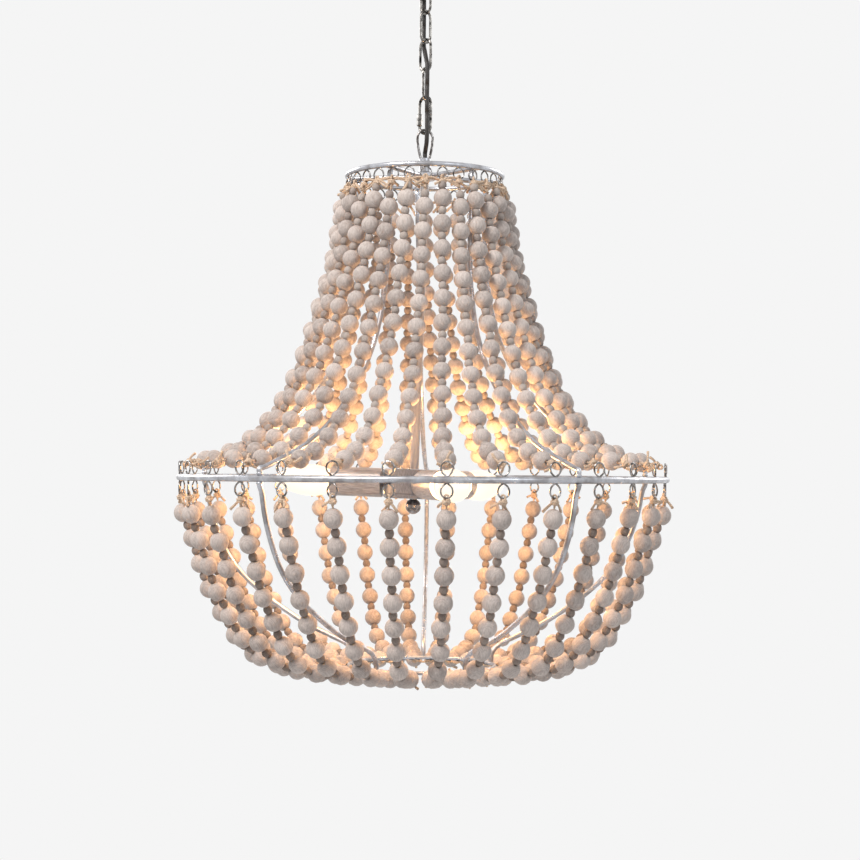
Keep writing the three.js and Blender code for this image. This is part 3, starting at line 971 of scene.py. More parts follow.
@dataclass
class Knot:
    """Twine tied through an eye: a turn through it, a wrapped knot and two loose ends."""

    twine: float = 2.6 * MM
    reach: float = 8 * MM
    loose: tuple[float, float] = (8 * MM, 15 * MM)
    loop_radius: float = 2.3 * MM
    loop_rise: float = 1.1 * MM
    wrap_turns: float = 2.3
    wrap_steps: int = 20
    wrap_radius: float = 2.1 * MM
    wrap_swell: float = 1.1 * MM
    wrap_top: float = 1.0 * MM
    wrap_height: float = 4.2 * MM
    frayed_shares: tuple = (0.42, 0.46, 0.5, 0.52, 0.56, 0.6)
    end_root: float = 1.4 * MM
    end_drop: float = 2.6 * MM
    end_bow: float = 1.5 * MM

    def loop(self) -> BMesh:
        """The turn of twine that passes through the eye."""
        steps, longer = 10, 1.25
        turns = [2 * math.pi * i / steps for i in range(steps)]
        wide, tall = self.loop_radius, self.loop_radius * longer
        ring = [Vector((0, wide * math.sin(t), self.loop_rise - tall * math.cos(t))) for t in turns]
        return tube(ring, self.twine * 0.42, 6, closed=True)

    def wraps(self, chance: random.Random) -> BMesh:
        """The knot itself."""
        points = []
        for i in range(self.wrap_steps + 1):
            share = i / self.wrap_steps
            turn = 2 * math.pi * self.wrap_turns * share + chance.uniform(-0.12, 0.12)
            swell = self.wrap_swell * math.sin(math.pi * share)
            radius = self.wrap_radius + swell + chance.uniform(-0.25, 0.25) * MM
            height = -self.wrap_top - self.wrap_height * share - chance.uniform(-0.2, 0.2) * MM
            points.append(Vector((radius * math.cos(turn), radius * math.sin(turn), height)))
        return tube(points, self.twine * 0.55, 6)

    def loose_end(self, chance: random.Random, turn: float) -> BMesh:
        """A stiff cut end that stands away from the knot."""
        length = chance.uniform(*self.loose)
        rise = chance.uniform(-1.1, -0.1)
        bend = chance.uniform(-0.7, 0.7)
        steps = len(self.frayed_shares) - 1
        points = []
        for i in range(steps + 1):
            share = i / steps
            out = self.end_root + length * share * math.cos(rise)
            way = turn + bend * share
            height = -self.end_drop + length * share * math.sin(rise) + self.end_bow * share * (1 - share)
            points.append(Vector((out * math.cos(way), out * math.sin(way), height)))
        return tube(points, [self.twine * thick for thick in self.frayed_shares], 6)

    def form(self, seed: int) -> BMesh:
        """One knot, tied from +Z down to its strand."""
        chance = random.Random(seed)
        made = Assembly()
        made.stamp(self.loop())
        made.stamp(self.wraps(chance))
        turn = chance.uniform(0, 2 * math.pi)
        made.stamp(self.loose_end(chance, turn))
        made.stamp(self.loose_end(chance, turn + chance.uniform(1.6, 3.8)))
        made.stamp(tube([Vector((0, 0, 0.5 * MM)), Vector((0, 0, -self.reach))], self.twine / 2, 6))
        return made.bm


@dataclass
class Curtain:
    """A curtain of bead strands between a small ring and the widest ring."""

    tier: Tier
    skeleton: Skeleton
    palette: Palette
    count: int = 30
    turn: float = math.radians(4.9)
    large: float = 20 * MM
    small: float = 10 * MM
    pitch: float = 27.6 * MM
    thread: float = 3 * MM
    twine: float = 1.9 * MM
    stagger: float = 9 * MM
    sway: float = 0.5 * MM
    knot_kinds: int = 6
    small_eye: float = 13 * MM
    small_wire: float = 1.7 * MM
    bottom_eye_lift: float = -82  # degrees, which lays the bottom ring's eyes out level with it
    bare_share: float = 0.35  # of the crown's gaps have no doubled twine
    swell: float = 1.125  # a coarse bead's size before its rounding
    hole: float = 1.5 * MM
    snug: float = 1.016  # how full a strand is with its beads
    tilt: float = 0.06
    size_range: tuple[float, float] = (0.98, 1.0)
    tone_spread: float = 0.22
    twine_step: float = 9 * MM
    crossing_sag: float = 2.2 * MM
    upper_shares: tuple = (
        (0.033, 0.897), (0.075, 0.747), (0.122, 0.648), (0.204, 0.496), (0.309, 0.342), (0.384, 0.261),
        (0.459, 0.198), (0.558, 0.138), (0.691, 0.087), (0.834, 0.06), (0.939, 0.049), (0.994, 0.032),
    )
    lower_shares: tuple = (
        (0.981, 0.181), (0.925, 0.328), (0.876, 0.462), (0.822, 0.595), (0.747, 0.717),
        (0.66, 0.848), (0.575, 0.924), (0.47, 0.974), (0.36, 0.994), (0.231, 1.007), (0.1, 1.02),
    )

    def __post_init__(self) -> None:
        """Makes the templates and the seeded chance."""
        upper = self.tier is Tier.UPPER
        self.group = 3 if upper else 2
        self.lead, self.tail = (33 * MM, 34 * MM) if upper else (33 * MM, 22 * MM)
        self.chance = random.Random(11 if upper else 12)
        self.large_form = template("large bead", self.bead(self.large, 8, (55, 25, 0, -25, -55)))
        self.small_form = template("small bead", self.bead(self.small, 8, (42, 0, -42)))
        self.knots = [template("knot", Knot().form(seed)) for seed in range(self.knot_kinds)]
        self.wide_eye = template("eye", Eye().form())
        narrow = Eye(across=self.small_eye, tall=self.small_eye, wire=self.small_wire)
        self.narrow_eye = template("small eye", narrow.form())

    def bead(self, across: float, steps: int, turns: tuple[float, ...]) -> BMesh:
        """A turned bead with a drilled hole, sized to be rounded once by subdivision.

        Args:
            across: its diameter.
            steps: facets round the hole.
            turns: degrees above its widest line at which the outline has a corner.

        Returns:
            The coarse bead.
        """
        radius = across / 2 * self.swell
        mouth = self.hole * 1.5
        rim = math.sqrt(radius**2 - mouth**2)
        throat = rim * 0.8
        outline = [(radius * math.cos(t), radius * math.sin(t)) for t in map(math.radians, turns)]
        profile = [(mouth, rim), *outline, (mouth, -rim), (self.hole, -throat), (self.hole, throat)]
        return turned(profile, steps, closed=True)

    def strand_route(self, number: int) -> Route:
        """The line of one strand, from its ring above to its ring below."""
        s = self.skeleton
        angle = self.turn + 2 * math.pi * number / self.count
        gap = s.fit + self.thread / 2
        if self.tier is Tier.UPPER:
            points = [
                polar(s.top_radius, s.top_height - s.top_rod / 2 - gap, angle + s.crown_turn),
                *s.outline(self.upper_shares, s.top_radius, s.top_height, angle, s.crown_turn),
                polar(s.middle_radius, s.middle_rod / 2 + gap, angle),
            ]
        else:
            points = [
                polar(s.middle_radius, -s.middle_rod / 2 - gap, angle),
                *s.outline(self.lower_shares, s.bottom_radius, -s.bottom_depth, angle),
                polar(s.bottom_radius, -s.bottom_depth - s.bottom_rod / 2 - gap, angle),
            ]
        return Route(through(points))

    def add_strand(self, beads: Assembly, twine: Assembly, number: int) -> None:
        """Strings one strand.

        Args:
            beads: takes the beads.
            twine: takes the thread and the knots.
            number: which strand, counted from the front.
        """
        s = self.skeleton
        route = self.strand_route(number)
        upper = self.tier is Tier.UPPER
        lead = self.lead + (number % 2) * (self.stagger if upper else 0)
        pitches = round((route.length - lead - self.tail) / self.pitch)
        pitch = (route.length - lead - self.tail) / pitches
        squeeze = min(1.0, pitch / (self.large + self.small) / self.snug)
        places = [(lead + i * pitch, True) for i in range(pitches + 1)]
        places += [(lead + (i + 0.5) * pitch, False) for i in range(-1 if upper else 0, pitches)]
        lean = self.chance.uniform(0.25, 0.75)
        for distance, large in places:
            along = route.along(distance)
            drift = Vector([self.chance.uniform(-1, 1) for _ in range(3)])
            sway = self.sway * (1 if large else 1.4)
            place = route.at(distance) + (drift - along * drift.dot(along)) * sway
            tilted = (along + drift.yzx * self.tilt).normalized()
            size = self.chance.uniform(*self.size_range)
            matrix = upright(place, tilted, self.chance.uniform(0, 2 * math.pi))
            matrix = matrix @ Matrix.Diagonal((size, size, squeeze, 1))
            form = self.large_form if large else self.small_form
            tone = min(1.0, max(0.0, self.chance.gauss(lean, self.tone_spread)))
            grain = Vector([self.chance.uniform(-40, 40) for _ in range(3)])
            beads.stamp(form, s.lift(matrix), 0 if large else 1, tone, grain)
        self.add_twine(twine, route)

    def add_twine(self, twine: Assembly, route: Route) -> None:
        """Runs the thread through a strand and ties both ends."""
        s = self.skeleton
        upper = self.tier is Tier.UPPER
        start_eye = (self.small_eye if upper else Eye().tall) - s.fit - self.thread / 2
        end_eye = (Eye().tall if upper else self.small_eye) - s.fit - self.thread / 2
        start, end = start_eye, route.length - end_eye
        steps = max(8, int((end - start) / self.twine_step))
        twine.stamp(tube(route.between(start, end, steps), self.twine / 2, 5), s.lift())
        for distance, way in ((start, -1), (end, 1)):
            along = route.along(distance) * way
            if way < 0:
                along = (along + Vector((0, 0, 1))).normalized()
            matrix = upright(route.at(distance), along, self.chance.uniform(0, 2 * math.pi))
            twine.stamp(self.chance.choice(self.knots), s.lift(matrix))

    def add_peaks(self, twine: Assembly, numbers: Sequence[int]) -> None:
        """Runs doubled twine from each eye of the crown down to the top beads of the strands beside it."""
        s = self.skeleton
        for number in numbers:
            peak = self.strand_route(number).at(self.small_eye - s.fit - self.thread)
            for side in (-1, 1):
                if self.chance.random() < self.bare_share:
                    continue
                route = self.strand_route(number + side)
                stagger = ((number + side) % 2) * self.stagger
                for _ in range(2):
                    bead_top = self.lead + stagger - self.pitch / 2 - self.small / 2
                    low = bead_top - self.chance.uniform(0, 3) * MM
                    end = route.at(low) + Vector([self.chance.uniform(-1.6, 1.6) * MM for _ in range(3)])
                    sag = Vector([self.chance.uniform(-1.5, 1.5) * MM for _ in range(3)])
                    middle = (peak + end) / 2 + sag
                    thick = self.twine * self.chance.uniform(0.5, 0.66)
                    twine.stamp(tube(through([peak, middle, end], 4), thick, 6), s.lift())

    def add_crossings(self, twine: Assembly, numbers: Sequence[int]) -> None:
        """Runs the twine on from each strand of a group to the next, at the bottom ring."""
        s = self.skeleton
        for a, b in zip(numbers, numbers[1:]):
            ends = []
            for number in (a, b):
                route = self.strand_route(number)
                ends.append(route.at(route.length - self.small_eye + s.fit + self.thread / 2))
            middle = (ends[0] + ends[1]) / 2 - Vector((0, 0, self.crossing_sag))
            twine.stamp(tube(through([ends[0], middle, ends[1]], 5), self.twine * 0.62, 6), s.lift())

    def build_group(self, number: int) -> None:
        """Makes the strands of one node, as beads and as twine."""
        beads, twine = Assembly(patterned=True), Assembly()
        first = (number - 1) * self.group
        members = list(range(first, first + self.group))
        for strand in members:
            self.add_strand(beads, twine, strand)
        if self.tier is Tier.UPPER:
            self.add_peaks(twine, members)
        else:
            self.add_crossings(twine, members)
        name = self.tier.value
        finishes = [self.palette.bead, self.palette.small_beads[self.tier]]
        piece = beads.piece(f"{name}_beads_{number:02d}", finishes)
        rounding = piece.modifiers.new("rounded", "SUBSURF")
        rounding.levels = rounding.render_levels = 1
        dress(piece, LANTERN, Slot.BEAD, f"{name}_strands_{number:02d}")
        dress(twine.piece(f"{name}_twine_{number:02d}", [self.palette.twine]), LANTERN, Slot.TWINE)

    def build_eyes(self) -> None:
        """Makes the two rows of eyes that this curtain hangs by."""
        s = self.skeleton
        wide, narrow = self.wide_eye, self.narrow_eye
        if self.tier is Tier.UPPER:
            rows = (
                ("crown_eyes", narrow, s.top_radius, s.top_height - s.top_rod / 2, s.crown_turn, 0),
                ("widest_ring_eyes_above", wide, s.middle_radius, s.middle_rod / 2, 0, 180),
            )
        else:
            depth = -s.bottom_depth - s.bottom_rod / 2
            rows = (
                ("widest_ring_eyes_below", wide, s.middle_radius, -s.middle_rod / 2, 0, 0),
                ("bottom_ring_eyes", narrow, s.bottom_radius, depth, 0, self.bottom_eye_lift),
            )
        for name, form, radius, height, turn, lift in rows:
            made = Assembly()
            lifted = Matrix.Rotation(math.radians(lift), 4, "X")
            for i in range(self.count):
                angle = self.turn + 2 * math.pi * i / self.count + turn
                twist = self.chance.uniform(-0.3, 0.3)
                place = Matrix.Translation(polar(radius, height, angle))
                made.stamp(form, s.lift(place @ Matrix.Rotation(angle + twist, 4, "Z") @ lifted))
            dress(made.piece(name, [self.palette.eye]), LANTERN, Slot.SILVER)

    def build(self) -> None:
        """Makes the curtain."""
        for number in range(1, self.count // self.group + 1):
            self.build_group(number)
        self.build_eyes()


# The lamps


@dataclass
class LampCluster:
    """The drum, its three candle lamps, the stem above and the ball below. They lean about the stem's top."""

    skeleton: Skeleton
    palette: Palette
    count: int = 3
    turn: float = math.radians(-70)
    drop: float = 6.3 * MM
    lean: float = math.radians(1.7)
    hub_radius: float = 33 * MM
    hub_height: float = 32 * MM
    stub_radius: float = 5 * MM
    stub_in: float = 2 * MM
    sleeve_radius: float = 16 * MM
    sleeve_wall: float = 1.4 * MM
    sleeve_base: float = 2 * MM
    sleeve_length: float = 58 * MM
    sleeve_start: float = 35 * MM
    holder_radius: float = 13 * MM
    holder_setback: float = 6 * MM
    cap_radius: float = 6.8 * MM
    cap_length: float = 18 * MM
    cap_lip: float = 0.4 * MM
    contact: tuple[float, float] = (3.4 * MM, 5.2 * MM)  # radii of the contact and of the glass round it
    contact_height: float = 3 * MM
    thread_turns: int = 5
    thread_start: float = 14.4 * MM  # below the glass
    thread_pitch: float = 2.5 * MM
    thread_radii: tuple[float, float] = (6 * MM, 6.7 * MM)
    seam_height: float = 5 * MM
    seam_half: float = 0.4 * MM
    seam_depth: float = 0.6 * MM
    edge: float = 1.2 * MM
    bulb_radius: float = 17.5 * MM
    bulb_length: float = 74 * MM
    stem_radius: float = 4.8 * MM
    stem_bore: float = 3.2 * MM
    ball_radius: float = 8.5 * MM
    neck_radius: float = 4 * MM
    neck_length: float = 1 * MM
    bulb_shares: tuple = (
        (0.5, 0), (0.56, 0.035), (0.72, 0.1), (0.88, 0.19), (0.97, 0.27), (1, 0.35), (0.985, 0.44),
        (0.93, 0.54), (0.83, 0.64), (0.68, 0.74), (0.5, 0.83), (0.31, 0.91), (0.15, 0.965),
    )

    def __post_init__(self) -> None:
        """Works out the matrix from the middle of the drum to the part."""
        crown_hub_bottom = self.skeleton.top_height - self.skeleton.crown_hub_height / 2
        self.stem_top = crown_hub_bottom + self.drop
        leaning = Matrix.Translation((0, 0, crown_hub_bottom)) @ Matrix.Rotation(self.lean, 4, "Y")
        self.middle = self.skeleton.lift(leaning @ Matrix.Translation((0, 0, -self.stem_top)))

    def laid(self, number: int) -> Matrix:
        """The matrix that lays lamp number down along its own direction."""
        turn = self.turn + 2 * math.pi * (number - 1) / self.count
        return self.middle @ Matrix.Rotation(turn, 4, "Z") @ Matrix.Rotation(math.pi / 2, 4, "Y")

    def build_hub(self) -> Object:
        """The drum with its cover plate, and its stubs."""
        made = Assembly(patterned=True)
        r, half, edge = self.hub_radius, self.hub_height / 2, self.edge
        seam = -half + self.seam_height
        drum = turned([
            (0, -half), (r - edge, -half), (r, -half + edge), (r, seam - self.seam_half),
            (r - self.seam_depth, seam), (r, seam + self.seam_half), (r, half - edge), (r - edge, half),
            (0, half),
        ], 64)
        made.stamp(drum, self.middle)
        start, end = r - 3 * MM, self.sleeve_start + self.sleeve_base + self.stub_in
        for number in range(1, self.count + 1):
            stub = turned([(0, start), (self.stub_radius, start), (self.stub_radius, end), (0, end)], 24)
            made.stamp(stub, self.laid(number))
        # Its finish is the sleeve lacquer darkened as painted shade.
        piece = sharpened(made.piece("cluster_hub", [self.palette.drum]))
        return dress(piece, LANTERN, Slot.SILVER, "lamp_hub")

    def build_sleeve(self, number: int) -> Object:
        """A sleeve with a closed foot and a rolled mouth."""
        foot = self.sleeve_start
        mouth = foot + self.sleeve_length
        outer, inner = self.sleeve_radius, self.sleeve_radius - self.sleeve_wall
        hole = self.stub_radius + self.skeleton.fit
        round_off = self.sleeve_wall / 2
        lip = arc((outer - round_off, mouth - round_off), round_off, 0, 180, 6)
        profile = [
            (hole, foot), (outer - round_off, foot), (outer, foot + round_off), *lip,
            (inner, foot + self.sleeve_base), (hole, foot + self.sleeve_base),
        ]
        made = Assembly(patterned=True)
        made.stamp(turned(profile, 48, closed=True), self.laid(number))
        piece = sharpened(made.piece(f"sleeve_{number}", [self.palette.sleeve]))
        return dress(piece, LANTERN, Slot.SLEEVE, f"candle_sleeve_{number}")

    def build_holder(self, number: int) -> Object:
        """A ceramic lamp holder with its socket."""
        s = self.skeleton
        front = self.sleeve_start + self.sleeve_length - self.holder_setback
        back = self.sleeve_start + self.sleeve_base + self.stub_in + s.fit
        socket = self.cap_radius + s.fit
        floor = front - self.cap_length - s.fit
        r, edge = self.holder_radius, self.edge
        body = turned([
            (0, back), (r - edge, back), (r, back + edge), (r, front - edge), (r - edge, front),
            (socket, front), (socket, floor), (0, floor),
        ], 40)
        made = Assembly()
        made.stamp(body, self.laid(number))
        piece = sharpened(made.piece(f"holder_{number}", [self.palette.ceramic]))
        return dress(piece, LANTERN, Slot.CERAMIC, f"lamp_holder_{number}")

    def build_bulb(self, number: int) -> None:
        """A candle bulb of lit glass on its screw cap."""
        s = self.skeleton
        start = self.sleeve_start + self.sleeve_length - self.holder_setback + s.fit
        tip = (0, start + self.bulb_length)
        outline = [(r * self.bulb_radius, start + z * self.bulb_length) for r, z in self.bulb_shares]
        glass = Assembly()
        glass.stamp(turned([(0, start), *outline, tip], 32), self.laid(number))
        body = f"lamp_{number}"
        dress(glass.piece(f"bulb_glass_{number}", [self.palette.glass]), body, Slot.GLASS, f"bulb_{number}")
        foot = start - self.cap_length
        contact, ring = self.contact
        threads = [(0, foot), (contact, foot), (ring, foot + self.contact_height)]
        hollow, crest = self.thread_radii
        for i in range(self.thread_turns):
            low = start - self.thread_start + i * self.thread_pitch
            threads += [(hollow, low), (crest, low + self.thread_pitch / 2)]
        shoulder = start - self.cap_lip
        threads += [(self.cap_radius - self.cap_lip, shoulder), (0, shoulder)]
        cap = Assembly()
        cap.stamp(turned(threads, 28), self.laid(number))
        dress(cap.piece(f"bulb_cap_{number}", [self.palette.cap]), body, Slot.CAP)

    def build_stem(self) -> Object:
        """The tube from the hub up to the crown."""
        s = self.skeleton
        low, high = self.hub_height / 2 + s.fit, self.stem_top - s.fit
        bore, outer = self.stem_bore, self.stem_radius
        profile = [(bore, low), (outer, low), (outer, high), (bore, high)]
        made = Assembly(patterned=True)
        made.stamp(turned(profile, 28, closed=True), self.middle)
        piece = sharpened(made.piece("stem_tube", [self.palette.sleeve]))
        return dress(piece, LANTERN, Slot.SILVER, "centre_stem")

    def build_ball(self) -> Object:
        """The ball under the hub."""
        top = -self.hub_height / 2 - self.skeleton.fit
        drop = math.sqrt(self.ball_radius**2 - self.neck_radius**2)
        middle = top - self.neck_length - drop
        start = math.degrees(math.asin(drop / self.ball_radius))
        profile = [(0, middle - self.ball_radius), *arc((0, middle), self.ball_radius, -84, start, 16)]
        profile += [(self.neck_radius, top), (0, top)]
        made = Assembly()
        made.stamp(turned(profile, 32), self.middle)
        piece = sharpened(made.piece("ball_finial", [self.palette.eye]))
        return dress(piece, LANTERN, Slot.SILVER, "finial_ball")

    def build(self) -> None:
        """Makes the cluster."""
        self.build_hub()
        for number in range(1, self.count + 1):
            self.build_sleeve(number)
            self.build_holder(number)
            self.build_bulb(number)
        self.build_stem()
        self.build_ball()


# The chain and the cable


@dataclass
class Hanging:
    """The frame's loop, the quick link, the chain and the cable beside it."""

    skeleton: Skeleton
    palette: Palette
    collar_radius: float = 6.5 * MM
    collar_height: float = 16 * MM
    loop_rod: float = 3 * MM
    loop_width: float = 20 * MM
    loop_inside: float = 29.5 * MM
    loop_foot: float = 9.6 * MM
    loop_turn: float = math.radians(15)
    link_rod: float = 3 * MM
    link_inside: float = 32 * MM
    link_width: float = 18 * MM
    link_turns: tuple = (72, -41, 47, -47)
    quick_rod: float = 3.5 * MM
    quick_inside: float = 36.6 * MM
    quick_width: float = 19 * MM
    quick_turn: float = -40
    nut_radius: float = 3.3 * MM
    nut_length: float = 13 * MM
    nut_lift: float = 1 * MM
    fit: float = field(init=False)
    cable: float = 5 * MM
    cable_offset: float = 8.8 * MM
    cable_turn: float = math.radians(-77.5)
    cable_bend: float = 9 * MM  # the most that it bends over, above and below a joint
    loop_drop: float = 24 * MM
    seam_size: float = 1.2 * MM
    seam_shares: tuple = ((0, -1), (1, -0.75), (1.12, 0), (1, 0.75), (0, 1))
    bevel: float = 1 * MM
    nut_bevel: float = 0.7 * MM

    def __post_init__(self) -> None:
        """Works out the heights up the chain, above the middle ring."""
        s = self.skeleton
        self.fit = s.fit
        self.collar_bottom = s.top_height + s.crown_hub_height / 2 + self.fit
        self.collar_top = self.collar_bottom + self.collar_height
        self.loop_top = self.collar_top + self.loop_inside
        self.quick_bottom = self.loop_top - self.fit
        self.quick_top = self.quick_bottom + self.quick_inside
        step = self.link_inside - self.fit
        self.link_bottoms = [self.quick_top - self.fit + i * step for i in range(len(self.link_turns))]
        self.barrel_bottom = self.link_bottoms[-1] + self.link_inside - self.fit + self.loop_drop

    def link_line(self, inside: float, width: float, rod: float, steps: int = 12) -> list[Vector]:
        """The middle line of a link that stands in the XZ plane."""
        bend = (width - rod) / 2
        straight = (inside + rod) / 2 - bend
        line = []
        for end in (1, -1):
            for i in range(steps + 1):
                turn = math.pi * i / steps + (0 if end > 0 else math.pi)
                line.append(Vector((bend * math.cos(turn), 0, bend * math.sin(turn) + end * straight)))
        return line

    def build_loop(self) -> Object:
        """The collar and its wire loop."""
        s = self.skeleton
        r = self.loop_rod / 2
        wide = self.loop_width / 2 - r
        middle = self.loop_top + r - wide
        leg = middle - self.collar_top
        foot = self.loop_foot / 2
        half = [(foot, self.collar_top - s.overlap)]
        for out, up in ((0.35, 0.2), (0.72, 0.48), (0.95, 0.8)):
            half.append((foot + (wide - foot) * out, self.collar_top + leg * up))
        bend = arc((0, middle), wide, 0, 180, 14)
        line = half + bend + [(-x, z) for x, z in reversed(half)]
        points = through([Vector((x, 0, z)) for x, z in line], 3)
        made = Assembly()
        turn = Matrix.Rotation(self.loop_turn, 4, "Z")
        made.stamp(tube(points, r, 10), s.lift(turn))
        low, high, radius, bevel = self.collar_bottom, self.collar_top, self.collar_radius, self.bevel
        collar = turned([
            (0, low), (radius - bevel, low), (radius, low + bevel), (radius, high - bevel),
            (radius - bevel, high), (0, high),
        ])
        made.stamp(collar, s.lift(), 1)
        piece = sharpened(made.piece("hanging_loop", [self.palette.eye, self.palette.silver]))
        return dress(piece, LANTERN, Slot.SILVER, "frame_loop")

    def build_link(
        self,
        name: str,
        body: str,
        replaced: str,
        sizes: tuple[float, float, float],
        bottom: float,
        turn: float,
    ) -> Object:
        """One link of the chain.

        Args:
            name: the piece's name.
            body: what it rides on.
            replaced: the node that it stands for.
            sizes: its inside length, its width and its rod.
            bottom: the height of its lower bend's inside.
            turn: degrees about the chain.

        Returns:
            The link.
        """
        inside, width, rod = sizes
        turned_by = Matrix.Rotation(math.radians(turn), 4, "Z")
        matrix = Matrix.Translation((0, 0, bottom + inside / 2)) @ turned_by
        made = Assembly()
        wire = tube(self.link_line(inside, width, rod), rod / 2, 12, closed=True)
        made.stamp(wire, self.skeleton.lift(matrix))
        bend = (width - rod) / 2
        seam = turned([(rod / 2 * out, self.seam_size * up) for out, up in self.seam_shares], 16)
        made.stamp(seam, self.skeleton.lift(matrix @ Matrix.Translation((bend, 0, 0))))
        return dress(made.piece(name, [self.palette.chain]), body, Slot.CHAIN, replaced)

    def build_quick_nut(self) -> Object:
        """The six-sided nut on the quick link's side, with turned-down ends."""
        side = (self.quick_width - self.quick_rod) / 2
        turn = math.radians(self.quick_turn)
        bottom = self.quick_bottom - self.quick_rod / 2 + side + self.nut_lift
        r, bore, edge = self.nut_radius, self.quick_rod / 2 + self.fit, self.nut_bevel
        form = turned([
            (bore, 0), (r - edge, 0), (r, edge), (r, self.nut_length - edge), (r - edge, self.nut_length),
            (bore, self.nut_length),
        ], 6, closed=True)
        made = Assembly()
        place = Vector((-side * math.cos(turn), -side * math.sin(turn), bottom))
        made.stamp(form, self.skeleton.lift(Matrix.Translation(place)))
        piece = sharpened(made.piece("screw_link_nut", [self.palette.chain]))
        return dress(piece, "quick_nut", Slot.CHAIN, "quick_link_nut")

    def cable_route(self) -> Route:
        """The cable's line from the collar up into the barrel."""
        start, end = self.collar_top + self.fit, self.barrel_bottom - self.fit
        second = self.link_bottoms[1]
        spots = [
            (0, start), (0, start + 3 * MM), (0, start + 5 * MM), (0.45, start + 10 * MM),
            (1, start + 18 * MM), (1, self.quick_top), (1, second + 4 * MM), (0.5, second + 10 * MM),
            (0, second + 16 * MM), (-0.5, second + 22 * MM), (-1, second + 28 * MM),
            (-1, self.link_bottoms[3]), (-1, end - 18 * MM), (-0.5, end - 11 * MM), (0, end - 7 * MM),
            (0, end - 3 * MM), (0, end),
        ]
        side = Vector((math.cos(self.cable_turn), math.sin(self.cable_turn), 0)) * self.cable_offset
        return Route(through([side * out + Vector((0, 0, z)) for out, z in spots], 6))

    def build_cable(self) -> None:
        """The cable, as one length for each joint that it passes, joined end to end."""
        s = self.skeleton
        route = self.cable_route()
        bodies = [LANTERN, "quick", "link_1", "link_2", "link_3", "link_4", "ceiling_mount"]
        first_hinge = self.quick_bottom - self.quick_rod / 2 + self.fit / 2
        hinges = [first_hinge, *self.link_bottoms, self.barrel_bottom - self.loop_drop]
        cuts = [0]
        for low, high in zip(hinges, hinges[1:]):
            middle = (low + high) / 2
            cuts.append(min(range(len(route.points)), key=lambda i: abs(route.points[i].z - middle)))
        cuts.append(len(route.points) - 1)
        for number, (below, above) in enumerate(zip(bodies, bodies[1:]), 1):
            points = route.points[cuts[number - 1]: cuts[number] + 1]
            made = Assembly()
            made.stamp(tube(points, self.cable / 2, 12), s.lift())
            piece = made.piece(f"cable_{number}", [self.palette.cable])
            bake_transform(piece)
            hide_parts("supply_cable")
            log.info("%s between %s and %s", piece.name, below, above)

    def build(self) -> None:
        """Makes everything between the crown and the ceiling rose."""
        self.build_loop()
        sizes = (self.quick_inside, self.quick_width, self.quick_rod)
        self.build_link("screw_link", "quick", "quick_link", sizes, self.quick_bottom, self.quick_turn)
        self.build_quick_nut()
        sizes = (self.link_inside, self.link_width, self.link_rod)
        for i, (bottom, turn) in enumerate(zip(self.link_bottoms, self.link_turns), 1):
            self.build_link(f"link_{i}_wire", f"link_{i}", f"chain_link_{i}", sizes, bottom, turn)
        self.build_cable()


# The ceiling rose


